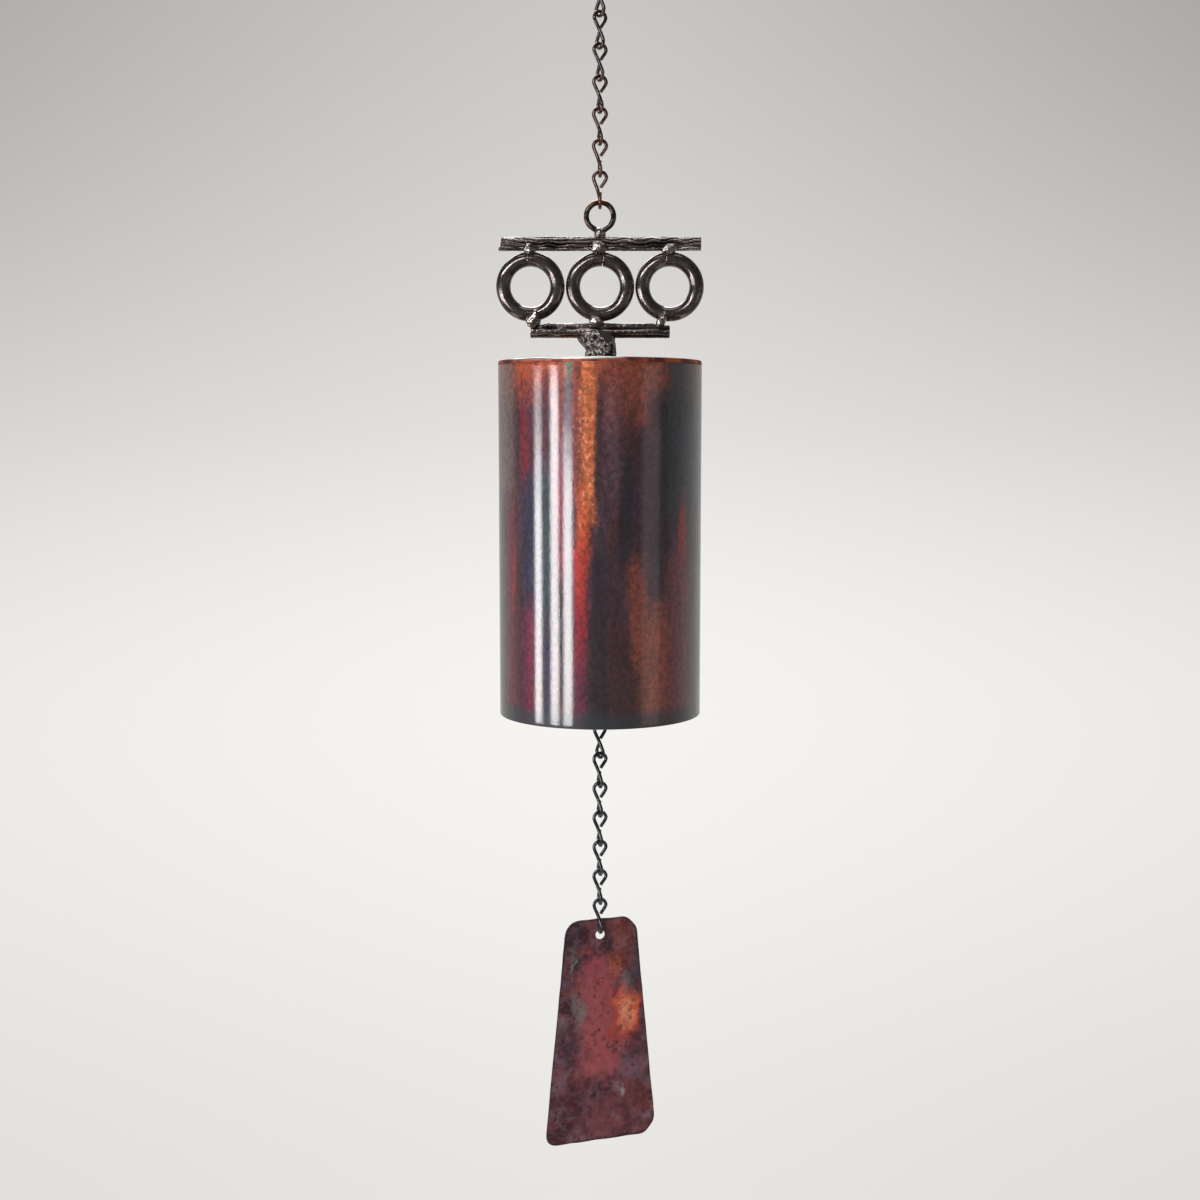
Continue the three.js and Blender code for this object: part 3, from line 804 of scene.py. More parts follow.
lip_top = PLATE_TOP - SEAM_BELOW_PLATE
lip_foot = TUBE_TOP + SEAM_GAP
seam_corners = [
    (SEAM_INNER, lip_foot),
    (SEAM_OUTER, lip_foot),
    (SEAM_OUTER - SEAM_LEAN, lip_top),
    (SEAM_INNER, lip_top),
]
seam = lathe(outline(seam_corners, (0.2, 0.2, 0.8, 0.2), 0.3, 9), 384)
round_front = np.degrees(np.arctan2(seam[..., 0], -seam[..., 1]))
from_left = np.clip((round_front - SEAM_BRIGHT[0]) / SEAM_FADE, 0, 1)
from_right = np.clip((SEAM_BRIGHT[1] - round_front) / SEAM_FADE, 0, 1)
upper = np.clip((seam[..., 2] - PLATE_TOP + POLISH_DEPTH) / POLISH_FADE, 0, 1)
polish = from_left * from_right * upper
seam_uneven = SEAM_UNEVEN * (ripples(seam, 9, 101) - 1) * np.clip(seam[..., 2] - TUBE_TOP, 0, 1)
seam = widened(seam, seam_uneven / SEAM_OUTER)
top_seam = surface("seam_lip", seam, joined=True, polish=polish)
seam_metal, n, skin_shader = finish("seam_metal", 1.0, 0.14)
patina = n.blend(n.span(n.noise(n.place(), 6, 3), 0.4, 0.6), colour("b05c40"), colour("64342e"))
# Bright steel where the mark is high: ground metal, with a painted highlight over the front and left.
n.feed(skin_shader.inputs["Base Color"], n.blend(n.mark("polish"), patina, colour("e2ded8")))
n.feed(skin_shader.inputs["Metallic"], n.span(n.mark("polish"), 0, 1, 0.6, 1.0))
n.feed(skin_shader.inputs["Roughness"], n.span(n.mark("polish"), 0, 1, 0.45, 0.3))
fit(top_seam, seam_metal, "bell", "top_seam")


# Bell tube
# Three and a half inch steel tube, plated with copper and coloured by flame and acid under a clear
# lacquer: copper red at the top, plum, slate and brick below, in soft upright streaks.

TUBE_OUTER = 44.43
TUBE_INNER = 42.35
TUBE_BEVEL = 0.3
TUBE_UNEVEN = 0.012


def rectangle(inner, outer, low, high):
    """Corners of a rectangle as points of (radius, height)."""
    return [(inner, low), (outer, low), (outer, high), (inner, high)]


tube_corners = rectangle(TUBE_INNER, TUBE_OUTER, RIM, TUBE_TOP)
tube_grid = lathe(outline(tube_corners, TUBE_BEVEL, 1.4, 8), 400)
tube_uneven = TUBE_UNEVEN * (ripples(tube_grid, 40, 111) - 1)
tube_grid = widened(tube_grid, tube_uneven / TUBE_OUTER)
outside = np.clip((np.linalg.norm(tube_grid[..., :2], axis=2) - TUBE_INNER - 0.6) / 0.8, 0, 1)
bell_tube = surface("tube_round", tube_grid, joined=True, outside=outside)


def colour_patch():
    """Node group for one soft patch of colour: a mask that falls off to both sides of Centre
    over Half, and fades in at From and out at To over Fade."""
    tree = bpy.data.node_groups.new("colour_patch", "ShaderNodeTree")
    for name in ("Across", "Down", "Centre", "Half", "From", "To", "Fade"):
        tree.interface.new_socket(name, in_out="INPUT", socket_type="NodeSocketFloat")
    tree.interface.new_socket("Mask", in_out="OUTPUT", socket_type="NodeSocketFloat")
    n = Nodes(tree)
    given = n.add("NodeGroupInput").outputs
    off = n.maths("ABSOLUTE", n.minus(given["Across"], given["Centre"]))
    beside = n.span(n.over(off, given["Half"]), 1.0, 0.25)
    into = n.over(n.minus(given["Down"], given["From"]), given["Fade"])
    out = n.over(n.minus(given["To"], given["Down"]), given["Fade"])
    upright = n.times(n.span(into, -0.5, 0.5), n.span(out, -0.5, 0.5))
    n.add("NodeGroupOutput", {"Mask": n.times(beside, upright)})
    return tree


PATCH = colour_patch()


def patch_mask(n, across, down, fade, centre, half, start, stop):
    """Mask of one patch, from a colour_patch group."""
    given = {"Across": across, "Down": down, "Centre": centre, "Half": half}
    given |= {"From": start, "To": stop, "Fade": fade}
    return n.add("ShaderNodeGroup", given, node_tree=PATCH).outputs[0]


# Colours of the patches on the bell and the sail: bright heat colours, then reds, darks, cold
# colours and greys. The flame, ember, green and white glint colours are painted highlights.
HEAT_AND_GLINT_COLOURS = {
    "flame": "ffac88",
    "ember_glint": "ee744c",
    "amber": "d2703f",
    "orange": "c4562c",
    "copper": "9c4c38",
    "coral": "b8585a",
    "scarlet": "b03028",
    "rose": "b04858",
    "crimson": "881c30",
    "magenta": "6c2048",
    "brick": "7c3830",
    "rosewood": "7c4044",
    "brown": "4c2a2c",
    "maroon": "441c28",
    "plum": "4c3040",
    "ink": "24202c",
    "slate": "343c44",
    "navy": "282c44",
    "teal": "24383f",
    # Painted green highlight.
    "green_glint": "447c64",
    "dust": "80645c",
    "mauve": "806474",
    "ash": "848484",
    # Painted white glint.
    "white_glint": "c4c2be",
}


def swatch(name):
    """Linear colour of one of the heat colours and painted glints."""
    return colour(HEAT_AND_GLINT_COLOURS[name])


def patches(n, shade, across, down, fade, rows):
    """The shade with one patch of a listed colour laid over it for each row, heat colour and painted
    glint alike: centre, half width, from, to, colour and strength."""
    for *where, name, strength in rows:
        mask = patch_mask(n, across, down, fade, *where)
        shade = n.lay(mask, strength, shade, swatch(name))
    return shade


# How softly a streak starts and stops, in mm. Then for each its angle from the front and half width
# in degrees, from and to in mm below the top, colour and strength.
BELL_FADE = 16.0
BELL_STREAKS = (
    (-64, 14, -8, 60, "dust", 0.7),
    (-66, 12, 60, 156, "plum", 0.6),
    (-47, 10, -8, 12, "orange", 0.8),
    (-36, 10, -8, 8, "copper", 0.8),
    (-46, 5, 14, 50, "crimson", 0.7),
    (-41, 8, 48, 104, "navy", 0.85),
    (-42, 5, 108, 156, "crimson", 0.5),
    (-59, 9, 58, 150, "crimson", 0.5),
    (-56, 4, 80, 106, "scarlet", 0.5),
    (-44, 9, 104, 156, "magenta", 0.55),
    (-31, 5, 6, 44, "maroon", 0.7),
    (-31, 5, 44, 112, "teal", 0.85),
    (-31, 5, 112, 156, "navy", 0.85),
    (-21.5, 3.5, -8, 40, "brick", 0.6),
    (-21.5, 3.5, 44, 88, "crimson", 0.45),
    (-21.5, 3.5, 94, 146, "ink", 0.8),
    # A painted green highlight near the top, where strip_3 is mirrored.
    (-16.5, 3, -8, 8, "green_glint", 0.8),
    (-17, 3.5, 8, 20, "slate", 0.8),
    (-17, 4, 18, 36, "plum", 0.6),
    (-12.5, 4, -8, 62, "brick", 0.8),
    (-6, 6.4, -8, 66, "amber", 0.9),
    (-9, 5.5, 56, 84, "orange", 0.85),
    (-10, 5.5, 76, 112, "scarlet", 0.85),
    (-10.5, 5.5, 104, 132, "crimson", 0.8),
    (-10.5, 5.5, 126, 160, "magenta", 0.6),
    (0.5, 3, 10, 60, "brown", 0.8),
    (-0.5, 7, 76, 160, "ink", 0.75),
    (7, 6, -8, 30, "copper", 0.6),
    (7, 5, 30, 90, "brown", 0.7),
    (8, 7, 12, 60, "mauve", 0.3),
    (19, 11, -8, 30, "copper", 0.7),
    (16, 8, 22, 46, "brown", 0.7),
    (15, 7, 42, 88, "ink", 0.85),
    (21, 8, 84, 128, "copper", 0.7),
    (26, 6, 30, 90, "plum", 0.6),
    (37, 6, 18, 104, "ink", 0.75),
    (53, 22, -8, 66, "slate", 0.9),
    (52, 6, 60, 94, "scarlet", 0.6),
    (32, 16, 104, 160, "copper", 0.9),
    (50, 17, 84, 160, "rosewood", 0.9),
    (76, 16, -8, 160, "slate", 0.6),
)
# The streak at the front with painted glints in it: how softly it fades out in mm, then angle,
# half width, from and to as above. Where the lacquer is thin, the same and the share of lacquer
# that is missing.
GLINT_STREAK = (30.0, -6.5, 7.0, -20, 66)
THIN_LACQUER = ((46, -17.5, 6, -90, 38, 0.88), (54, -36, 7, -90, 44, 0.6))
# Slate coloured band along the rim: where it starts and is full, in mm below the top.
RIM_BAND = (145.5, 151.5)
BACK_STREAK_COLOURS = ("copper", "ink", "magenta", "teal", "orange", "crimson", "slate", "brick")
rng = np.random.default_rng(7)
angles = np.concatenate([np.linspace(-160, -84, 11), np.linspace(78, 160, 12)])
starts = rng.uniform(-8, 90, len(angles))
widths = rng.uniform(4, 9, len(angles))
stops = starts + rng.uniform(35, 80, len(angles))
names = rng.choice(BACK_STREAK_COLOURS, len(angles)).tolist()
back_numbers = np.stack([angles, widths, starts, stops], 1).tolist()
BACK_STREAKS = tuple((*numbers, name, 0.8) for numbers, name in zip(back_numbers, names))

bell_metal, n, skin_shader = finish("bell_metal", 0.62, 0.4, 1.0)
where = n.add("ShaderNodeSeparateXYZ", {0: n.place()}).outputs
angle = n.maths("ARCTAN2", where["X"], n.times(where["Y"], -1.0))
angle = n.times(angle, 180 / math.pi)
drop = n.times(n.plus(where["Z"], -PLATE_TOP / 1000), -1000.0)
tall = n.place((1, 1, 0.3))
wide_warp = n.wander(n.noise(n.place((1, 1, 0.14)), 9, 3), 9.0)
fine_warp = n.wander(n.noise(n.place((1, 1, 0.6)), 1.2, 3, 0.7), 3.5)
across = n.plus(angle, n.plus(wide_warp, fine_warp))
down = n.plus(drop, n.wander(n.noise(n.place(), 7, 4, 0.65), 26.0))
plum = n.blend(n.span(n.noise(tall, 6, 3), 0.38, 0.62), swatch("maroon"), swatch("plum"))
base = n.blend(n.span(down, 2, 24), swatch("copper"), plum)
base = n.blend(n.span(down, 96, 140), base, swatch("brown"))
shade = patches(n, base, across, down, BELL_FADE, BELL_STREAKS + BACK_STREAKS)
# Painted glints: pale flame-coloured flecks in the front streak.
painted_glints = n.span(n.noise(n.place((1, 1, 0.7)), 1.5, 4, 0.7), 0.5, 0.68)
painted_glints = n.times(patch_mask(n, across, down, *GLINT_STREAK), painted_glints)
shade = n.lay(painted_glints, 0.7, shade, swatch("flame"))
specks = n.span(n.noise(n.place(), 0.9, 2), 0.55, 0.75)
shade = n.lay(specks, 0.35, shade, swatch("ink"))
broad_cloud = n.span(n.noise(tall, 3, 4, 0.6), 0.3, 0.7, 0.88, 1.1)
fine_cloud = n.span(n.noise(n.place((1, 1, 0.8)), 1.9, 5, 0.72), 0.34, 0.66, 0.6, 1.4)
cloud = n.times(broad_cloud, fine_cloud)
grey = n.add("ShaderNodeCombineColor", {0: cloud, 1: cloud, 2: cloud}).outputs[0]
shade = n.blend(1.0, shade, grey, "MULTIPLY")
rim_band = n.span(n.plus(drop, fine_warp), *RIM_BAND)
shade = n.lay(rim_band, 0.8, shade, swatch("slate"))
inside = n.span(n.noise(n.place(), 8, 4), 0.4, 0.6)
shade = n.blend(n.mark("outside"), n.blend(inside, colour("54463f"), colour("3a3230")), shade)
lacquered = n.mark("outside")
for fade, *where_thin, missing in THIN_LACQUER:
    thin = n.times(patch_mask(n, across, down, fade, *where_thin), missing)
    lacquered = n.times(lacquered, n.minus(1.0, thin))
n.feed(skin_shader.inputs["Coat Weight"], lacquered)
skin_shader.inputs["Coat Roughness"].default_value = 0.03
skin_shader.inputs["Coat IOR"].default_value = 1.8
lacquer = n.bump(n.noise(n.place(), 1.1, 3, 0.6), 0.02)
relief = n.bump(n.noise(n.place(), 9, 2), 0.09, lacquer)
cover(n, skin_shader, shade, n.span(n.noise(tall, 4, 3), 0.3, 0.7, 0.36, 0.5), relief)
orange_peel = n.bump(n.noise(n.place((1, 1, 0.8)), 0.8, 3, 0.6), 0.026)
n.feed(skin_shader.inputs["Coat Normal"], orange_peel)
fit(bell_tube, bell_metal, "bell", "bell_tube")


# Inner eye and its welds
# A small loop of wire under the middle of the top plate, with a bead of weld on each side. The
# clapper hangs from it.

INNER_EYE_WIRE = 3.0
INNER_EYE_BEND = 4.5
INNER_EYE_CENTRE = -3.5
INNER_EYE_FOOT = -0.05
INNER_WELD_FILL = 0.96

foot = np.array([[-INNER_EYE_BEND, 0, INNER_EYE_FOOT]])
arch = bend(INNER_EYE_CENTRE, INNER_EYE_BEND, 180, 360)
inner_path = spline(np.concatenate([foot, arch, foot * [-1, 1, 1]]), 10)
inner_eye = flat_wire("inner_eye_wire", inner_path, INNER_EYE_WIRE, 90, TUBE_TOP, bulge=0.02)
fit(inner_eye, bare_steel, "bell", "inner_eye")
for number, side in enumerate(("front", "back")):
    node = f"inner_weld_{side}"
    low, high = (np.array(corner) * 1000 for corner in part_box(node))
    size = (high - low) * INNER_WELD_FILL
    bead = lump(f"inner_bead_{side}", (low + high) / 2, size, 120 + number, rough=0.05)
    fit(bead, weld_metal, "bell", node)


# Clapper, its hanger and its wire
# A short length of round bar, turned and drilled through. A straight wire with an eye at each
# end hangs it in the bell, and a second wire through it carries the lower chain.

EYED_WIRE = 2.4
EYED_BEND = 3.6
EYED_ARC = (-40, 215)
EYED_SHANK = ((0, 0, -9.6), (0, 0, -12.0))
CLAPPER_RADIUS = 15.85
CLAPPER_BORE = 1.52
CLAPPER_BEVEL = 1.6
# Body, level of the centre line's top, span down to its foot, turn in degrees and seed.
EYED_WIRES = {
    "clapper_hanger": ("clapper_hanger", -194.6, 94.0, 0, 130),
    "clapper_wire": ("clapper", -285.9, 51.0, 90, 131),
}

for node, (body, level, span, turn, seed) in EYED_WIRES.items():
    head = np.concatenate([bend(-EYED_BEND, EYED_BEND, *EYED_ARC), EYED_SHANK])
    tail = head[::-1] * [-1, 1, -1] - [0, 0, span]
    upright = spline(np.concatenate([head, tail]), 12)
    made = flat_wire(f"{node}_rod", upright, EYED_WIRE, turn, level, rough=0.02, seed=seed)
    fit(made, bare_steel, body, node)

clapper_corners = rectangle(CLAPPER_BORE, CLAPPER_RADIUS, *heights("clapper"))
clapper_profile = outline(clapper_corners, (0.3, CLAPPER_BEVEL, CLAPPER_BEVEL, 0.3), 0.8)
clapper = surface("clapper_slug", lathe(clapper_profile, 160), joined=True)
turned_steel = plain_metal("turned_steel", "7c7a78", "615d5a", "3b3633", 5.0, 0.32, 0.05)
fit(clapper, turned_steel, "clapper", "clapper")


# Lower chain
# Eight links like those above, coloured satin blue-black. The end of the last one was opened a
# little to take the sail.

LOWER_CHAIN_TOP = -334.615
LOWER_TURNS = (15, 30, 15, 16, 16, 16, 12, 18)
OPENED_END = 1.885
LOWER_SEEDS = 140

# The grey tint on one side of these links is a painted sheen.
black_chain = chain_metal("black_chain", "3a3a3e", "5c5c62", "62606a", 0.4, -430, -330)
chain("lower", LOWER_CHAIN_TOP, LOWER_TURNS, black_chain, LOWER_SEEDS, OPENED_END)


# Wind sail
# Sheet steel cut to a long taper, hammered over both faces and heat-coloured, with clipped
# corners and a hole for the last link.

SAIL_THICKNESS = 1.0
SAIL_HOLE = 4.3
SAIL_HOLE_CENTRE = -444.75
SAIL_TURN = 18.0
SAIL_FOOT = -96.7
SAIL_CORNERS = (
    (-16.0, 7.5),
    (12.6, 7.4),
    (17.6, 2.4),
    (26.4, -90.2),
    (21.9, -96.6),
    (-26.2, SAIL_FOOT),
)
SAIL_CUTS = (8.0, 2.6, 2.6, 3.0, 2.6, 6.0)
SAIL_STEPS = 560
EDGE_WAVE = 0.12
HAMMER_BLOWS = 330
HAMMER_RELIEF = 0.19
SHEET_WAVE = 0.28
SHEET_SMALL_WAVE = 0.12
# How far from the hole the waves and the hammering start, and over how much they grow.
CALM_REACH = 2.5
CALM_FADE = 7

# The outline is walked in even steps, and a ray runs from the hole's edge to each. The rows lie at
# set distances from both ends of every ray, and at even shares of what is between them.
edge = outline(SAIL_CORNERS, SAIL_CUTS, 0.6, 9)[::-1]
edge = np.concatenate([edge, edge[:1]])
length = np.concatenate([[0], np.cumsum(np.linalg.norm(np.diff(edge, axis=0), axis=1))])
even = np.linspace(0, length[-1], SAIL_STEPS, endpoint=False)
edge = np.stack([np.interp(even, length, edge[:, i]) for i in (0, 1)], 1)
uneven_edge = ripples(np.stack([edge[:, 0], edge[:, 1], 0 * even], 1), 9, 151)
edge += EDGE_WAVE * uneven_edge[:, None] * unit(edge)
edge[:, 1] = np.maximum(edge[:, 1], SAIL_FOOT)
ray = unit(edge)
inner = ray * SAIL_HOLE / 2
run = np.linalg.norm(edge - inner, axis=1)[None, :]
soft_edge = np.array([0, 0.06, 0.16, 0.3, 0.5])[:, None]
middle_rows = np.linspace(0, 1, 72)[1:-1, None]
gone = np.concatenate([soft_edge + 0 * run, 0.5 + (run - 1.0) * middle_rows, run - soft_edge[::-1]])
spot = inner[None] + ray[None] * gone[..., None]
x, z = spot[..., 0], spot[..., 1]
rng = np.random.default_rng(5)
blows = np.stack([rng.uniform(-30, 30, HAMMER_BLOWS), rng.uniform(-99, 10, HAMMER_BLOWS)], 1)


def hammered(shift):
    """How far in the face lies at each spot: the square of the distance to the nearest blow, up to
    a most. So the middle of every blow stands out and a valley is where it meets its neighbours.
    The shift moves all the blows, for the other face."""
    centres = blows + shift
    near = ((x[..., None] - centres[:, 0]) ** 2 + (z[..., None] - centres[:, 1]) ** 2).min(-1)
    return HAMMER_RELIEF * np.clip(near / 7.0, 0, 1.3)


def both_faces(front, back):
    """Rows of the front face, then those of the back face in reverse, so that they meet."""
    return np.concatenate([front, back[::-1]])


# Each face is the sheet's wave, moved half a thickness to its side and then in by the hammering.
# The thickness grows in a quarter circle from both edges.
flat = grid_of(x, z, 0.0)
calm = np.clip((gone - CALM_REACH) / CALM_FADE, 0, 1)
wave = SHEET_WAVE * ripples(flat, 46, 152) + SHEET_SMALL_WAVE * ripples(flat, 14, 153)
wave = calm * wave
from_rim = run - gone
from_edge = np.clip(np.minimum(gone, from_rim) / 0.5, 0, 1)
half = SAIL_THICKNESS / 2 * (0.35 + 0.65 * np.sqrt(1 - (1 - from_edge) ** 2))
hammering = calm * from_edge
front_face = wave - half + hammering * hammered(0.0) + 0.02 * hammering * ripples(flat, 1.8, 154)
back_face = wave + half - hammering * hammered(3.1)
sheet = both_faces(grid_of(x, front_face, z), grid_of(x, back_face, z))
marks = {"across": both_faces(x, x), "down": -both_faces(z, z), "rim": both_faces(from_rim, from_rim)}
sail = surface("sail_sheet", turned(sheet, SAIL_TURN, SAIL_HOLE_CENTRE), joined=True, **marks)

# How softly a patch starts and stops. Then for each its middle and half width across, from and to
# below the hole, all in mm, colour and strength.
SAIL_FADE = 9.0
SAIL_PATCHES = (
    (10, 11, -9, 15, "copper", 0.5),
    (3.5, 4.2, 0, 9, "ink", 0.85),
    (-14, 8, -7, 13, "ink", 0.6),
    (-13, 5, 4, 11, "ash", 0.4),
    (-12, 7, 13, 23, "maroon", 0.6),
    (-2, 8, 9, 18, "rose", 0.9),
    (8, 4.5, 11, 21, "orange", 0.7),
    (11, 7, 20, 30, "ash", 0.6),
    (18.5, 5, 6, 34, "slate", 0.7),
    (0, 15, 18, 66, "coral", 0.8),
    # A spot of orange heat colour whose bright ember and flame centre is a painted glow.
    (12, 11, 25, 52, "scarlet", 0.55),
    (12.5, 8, 28, 47, "orange", 0.75),
    (12.5, 7, 29, 46, "ember_glint", 0.9),
    (12.5, 4.5, 31, 42, "flame", 0.6),
    (-10, 5, 28, 42, "ash", 0.55),
    (-18.5, 4, 38, 46, "ash", 0.45),
    (-15, 8, 42, 57, "plum", 0.8),
    (19, 7, 46, 60, "plum", 0.7),
    (16, 10, 60, 70, "mauve", 0.5),
    (-19, 6, 60, 72, "mauve", 0.4),
    (-12, 8, 72, 89, "maroon", 0.6),
    # This row and the next are small painted white glints.
    (9.8, 1.3, 73, 78, "white_glint", 0.8),
    (-13, 1.2, 12, 17, "white_glint", 0.5),
    (16, 8, 72, 89, "brick", 0.6),
    (2, 14, 78, 98, "rosewood", 0.8),
    (24.5, 3, 91, 98, "teal", 0.9),
)
# Clouds of colour laid over the patches: stretch, size in mm, where the cloud starts and is full,
# strength, colour.
SAIL_CLOUDS = (
    ((1, 1, -0.8), 5, 0.5, 0.68, 0.6, "maroon"),
    ((-1, 1, 0.8), 3.5, 0.52, 0.72, 0.3, "coral"),
    ((1, 1, 1.6), 2.6, 0.48, 0.7, 0.4, "mauve"),
)
sail_metal, n, skin_shader = finish("sail_metal", 0.35, 0.34, 0.8)
place = n.place()
warp = n.wander(n.noise(place, 6, 3, 0.6), 13.0)
warp_down = n.wander(n.noise(n.place((1.3, 1, -1)), 5, 3, 0.6), 15.0)
across = n.plus(n.mark("across"), warp)
down = n.plus(n.mark("down"), warp_down)
base = n.blend(n.span(n.noise(place, 9, 4, 0.6), 0.36, 0.62), swatch("rosewood"), swatch("maroon"))
pale = n.span(n.noise(n.place((1, 1, -1)), 6, 4, 0.65), 0.45, 0.65, 0.0, 0.65)
base = n.blend(pale, base, swatch("mauve"))
shade = patches(n, base, across, down, SAIL_FADE, SAIL_PATCHES)
for stretch, size, low, high, strength, name in SAIL_CLOUDS:
    cloud = n.span(n.noise(n.place(stretch), size, 5, 0.7), low, high, 0.0, strength)
    shade = n.blend(cloud, shade, swatch(name))
dots = n.add("ShaderNodeTexVoronoi", {"Vector": place, "Scale": 1000 / 3.4}).outputs["Distance"]
uneven_dots = n.plus(dots, n.span(n.noise(place, 8, 2), 0.35, 0.65, 0.0, 0.26))
shade = n.blend(n.span(uneven_dots, 0.42, 0.16, 0.0, 0.62), shade, swatch("maroon"))
sway = n.wander(n.noise(place, 3, 2), 0.006)
swayed = n.add("ShaderNodeVectorMath", {0: n.place((1.2, 1, 0.9)), 1: sway}, operation="ADD").outputs[0]
from_curl = n.add("ShaderNodeTexVoronoi", {"Vector": swayed, "Scale": 1000 / 7}).outputs["Distance"]
off_curl = n.maths("ABSOLUTE", n.minus(from_curl, 0.2))
curled = n.times(n.span(off_curl, 0.07, 0.02), n.span(n.noise(place, 7, 2), 0.46, 0.56))
shade = n.lay(curled, 0.6, shade, swatch("maroon"))
shade = n.blend(n.span(n.noise(place, 0.9, 3, 0.7), 0.52, 0.72, 0.0, 0.3), shade, swatch("ink"))
shade = n.blend(n.span(n.mark("rim"), 1.4, 0.3, 0.0, 0.85), shade, swatch("ink"))
roughness = n.span(n.noise(place, 3, 3), 0.35, 0.65, 0.2, 0.34)
cover(n, skin_shader, shade, roughness, n.bump(n.noise(place, 1.6, 3, 0.6), 0.14))
skin_shader.inputs["Coat Roughness"].default_value = 0.1
fit(sail, sail_metal, "sail", "wind_sail")


# Floor, backdrop, lamps and camera
# A pale floor far below keeps the shadow and fades out at its edge into a pale backdrop, which the
# metal mirrors dimmed. Three strips at the left and three faint lamps in a stack at the right are
# for the bell, one is for the ornament, one behind for the bright rim, and one hangs overhead.

FLOOR_LEVEL = -1.2
FLOOR_RADIUS = 1.25
FLOOR_GONE = 1.22
FLOOR_SOLID = 0.8
# Height of the view direction and brightness there, then how much it darkens to the sides.
BACKDROP = ((-0.44, 0.8), (-0.16, 0.92), (0.0, 0.77), (0.25, 0.58))
BACKDROP_SIDE = ((-0.44, 0.08), (0.0, 0.12), (0.25, 0.3))
BACKDROP_BRIGHTEST = -0.02
BACKDROP_REACH = 0.34
BACKDROP_CURVE = 1.3
BACKDROP_MOST = 1.3
BACKDROP_TINT = (1.0, 0.985, 0.955, 1.0)
# Share of the backdrop that metal mirrors, on the camera's side and behind the bell.
MIRRORED = (0.22, 0.65)
PLAIN_LIGHT = 0.5
BELL_LEVEL = -0.34
# Azimuth in degrees, distance, level, level aimed at, width and height in metres, radiance.
STANDING_LAMPS = {
    "strip_1": (-72, 1.0, BELL_LEVEL, BELL_LEVEL, 0.157, 0.37, 9.0),
    "strip_2": (-51, 1.0, BELL_LEVEL, BELL_LEVEL, 0.165, 0.37, 9.0),
    "strip_3": (-35.5, 1.0, BELL_LEVEL, BELL_LEVEL, 0.17, 0.37, 9.0),
    "broad_1": (58, 1.01, BELL_LEVEL, BELL_LEVEL, 0.44, 0.42, 0.09),
    "broad_2": (58, 1.02, BELL_LEVEL, BELL_LEVEL, 0.38, 0.42, 0.09),
    "broad_3": (58, 1.03, BELL_LEVEL, BELL_LEVEL, 0.32, 0.42, 0.09),
    "upper": (-32, 1.1, 0.36, -0.1374, 1.0, 0.16, 11.0),
    "rear": (-168, 0.9, 0.75, TUBE_TOP / 1000, 1.0, 0.8, 5.0),
}
OVERHEAD_SIDE = 1.2
OVERHEAD_LEVEL = 1.3
OVERHEAD_RADIANCE = 1.2
CAMERA_AT = (0.0, -0.711, -0.2184)
CAMERA_DOWN = 5.95
CAMERA_LENS = 48.4

rim = lathe([(FLOOR_RADIUS, FLOOR_LEVEL)], 96)[0]
floor_mesh = bpy.data.meshes.new("floor")
floor_mesh.from_pydata(rim.tolist(), [], [list(range(len(rim)))])
floor = bpy.data.objects.new("floor", floor_mesh)
bpy.context.scene.collection.objects.link(floor)
floor_skin, n, skin_shader = finish("floor_skin", 0.0, 0.9)
grain = n.span(n.noise(n.place(), 4, 3), 0.3, 0.7, 0.97, 1.0)
n.feed(skin_shader.inputs["Base Color"], n.blend(grain, colour("dcdad4"), colour("e6e4de")))
n.feed(skin_shader.inputs["Alpha"], n.span(from_axis(n), FLOOR_GONE, FLOOR_SOLID))
floor_mesh.materials.append(floor_skin)


def grey_ramp(n, value, stops):
    """Grey over the value, a smooth curve through stops of (value, brightness)."""
    low, high = stops[0][0], stops[-1][0]
    share = n.over(n.minus(value, low), high - low)
    greys = [((position - low) / (high - low), (level, level, level, 1)) for position, level in stops]
    return colour_ramp(n, share, greys, "CARDINAL")


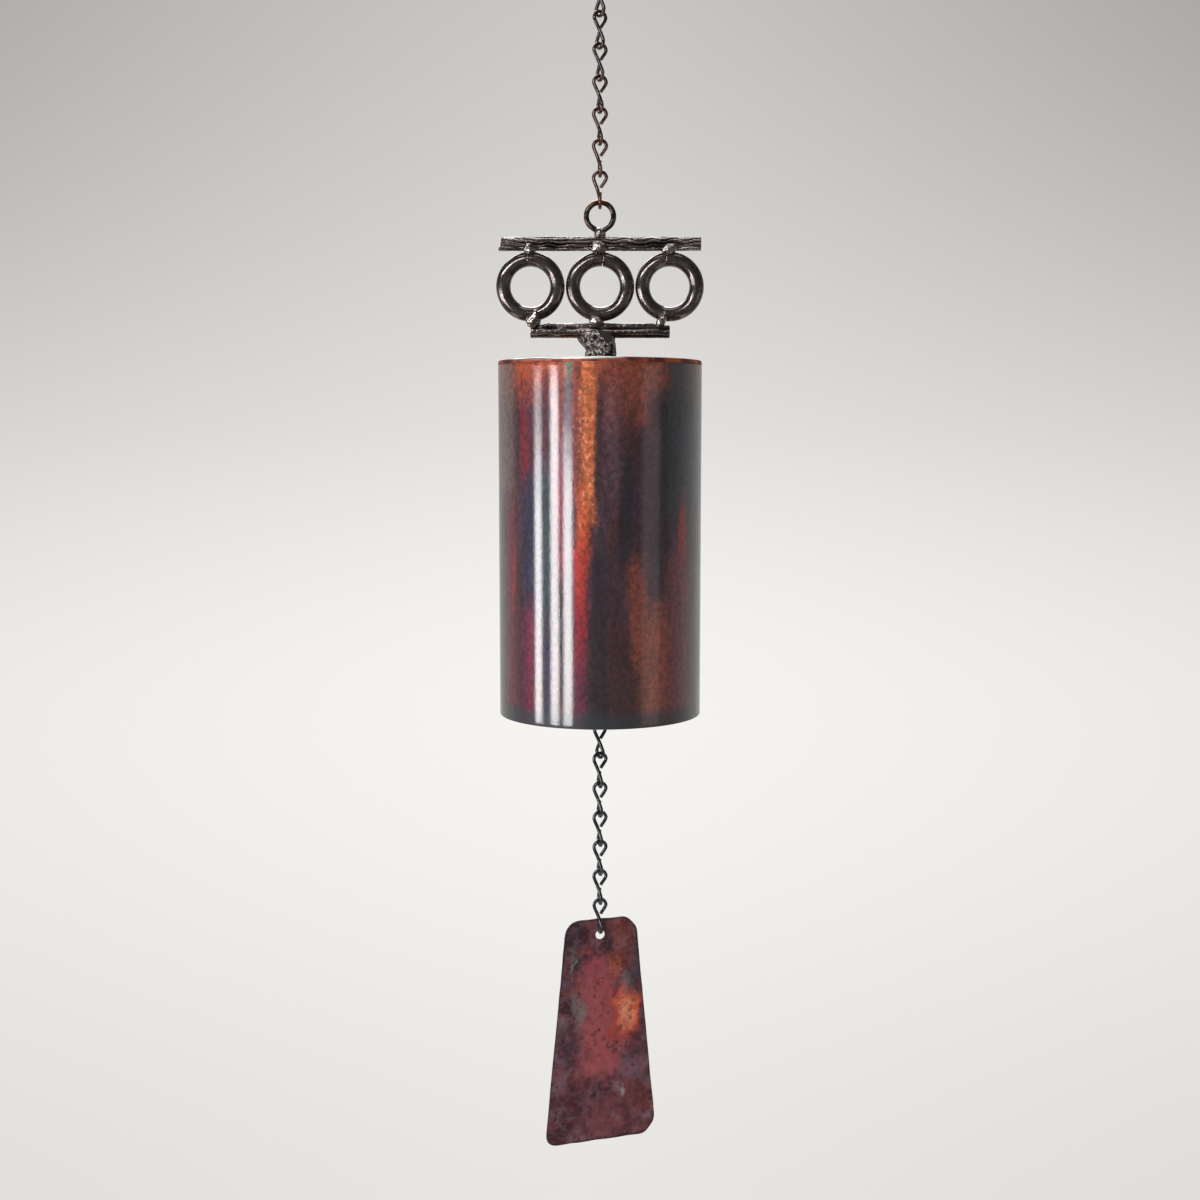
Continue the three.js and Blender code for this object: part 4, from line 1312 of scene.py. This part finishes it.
world = bpy.data.worlds.new("studio")
bpy.context.scene.world = world
world.use_nodes = True
n = Nodes(world.node_tree)
background = world.node_tree.nodes["Background"]
way = n.add("ShaderNodeSeparateXYZ", {0: n.add("ShaderNodeTexCoord").outputs["Generated"]}).outputs
aside = n.maths("ABSOLUTE", n.minus(way["X"], BACKDROP_BRIGHTEST))
aside = n.maths("POWER", n.over(aside, BACKDROP_REACH), BACKDROP_CURVE)
aside = n.maths("MINIMUM", aside, BACKDROP_MOST)
darker = n.times(grey_ramp(n, way["Z"], BACKDROP_SIDE), aside)
backdrop = n.times(grey_ramp(n, way["Z"], BACKDROP), n.minus(1.0, darker))
rays = n.add("ShaderNodeLightPath").outputs
mirrored = n.times(backdrop, n.span(way["Y"], -0.2, 0.9, *MIRRORED))
bent_rays = n.maths("MAXIMUM", rays["Is Glossy Ray"], rays["Is Transmission Ray"])


def either(share, no, yes):
    """no where the share is 0 and yes where it is 1."""
    return n.add("ShaderNodeMix", {0: share, 2: no, 3: yes}).outputs[0]


background.inputs["Color"].default_value = BACKDROP_TINT
lit = either(bent_rays, PLAIN_LIGHT, mirrored)
n.feed(background.inputs["Strength"], either(rays["Is Camera Ray"], lit, backdrop))


def area_lamp(name, at, rotation, width, tall, radiance):
    """A rectangular lamp of this radiance: its power is radiance times pi times its area."""
    lamp = bpy.data.lights.new(name, "AREA")
    lamp.shape = "RECTANGLE"
    lamp.size, lamp.size_y = width, tall
    lamp.energy = radiance * math.pi * width * tall
    holder = bpy.data.objects.new(name, lamp)
    holder.location = at
    holder.rotation_euler = rotation
    holder.visible_camera = False
    bpy.context.scene.collection.objects.link(holder)


def standing_lamp(name, azimuth, distance, level, aim, width, tall, radiance):
    """A lamp that stands at an azimuth from the front, to the right when positive, and faces the
    height aim on the bell's axis."""
    a = math.radians(azimuth)
    at = (distance * math.sin(a), -distance * math.cos(a), level)
    down = math.atan2(level - aim, distance)
    area_lamp(name, at, (math.pi / 2 - down, 0, a), width, tall, radiance)


for name, numbers in STANDING_LAMPS.items():
    standing_lamp(name, *numbers)
overhead_size = (OVERHEAD_SIDE, OVERHEAD_SIDE, OVERHEAD_RADIANCE)
area_lamp("overhead", (0, 0, OVERHEAD_LEVEL), (0, 0, 0), *overhead_size)

camera = bpy.data.cameras.new("camera")
camera.lens = CAMERA_LENS
camera.sensor_width = 36.0
camera.clip_end = 20.0
viewer = bpy.data.objects.new("camera", camera)
viewer.location = CAMERA_AT
viewer.rotation_euler = (math.radians(90 - CAMERA_DOWN), 0, 0)
bpy.context.scene.collection.objects.link(viewer)
bpy.context.scene.camera = viewer
bpy.context.scene.view_settings.view_transform = "Standard"
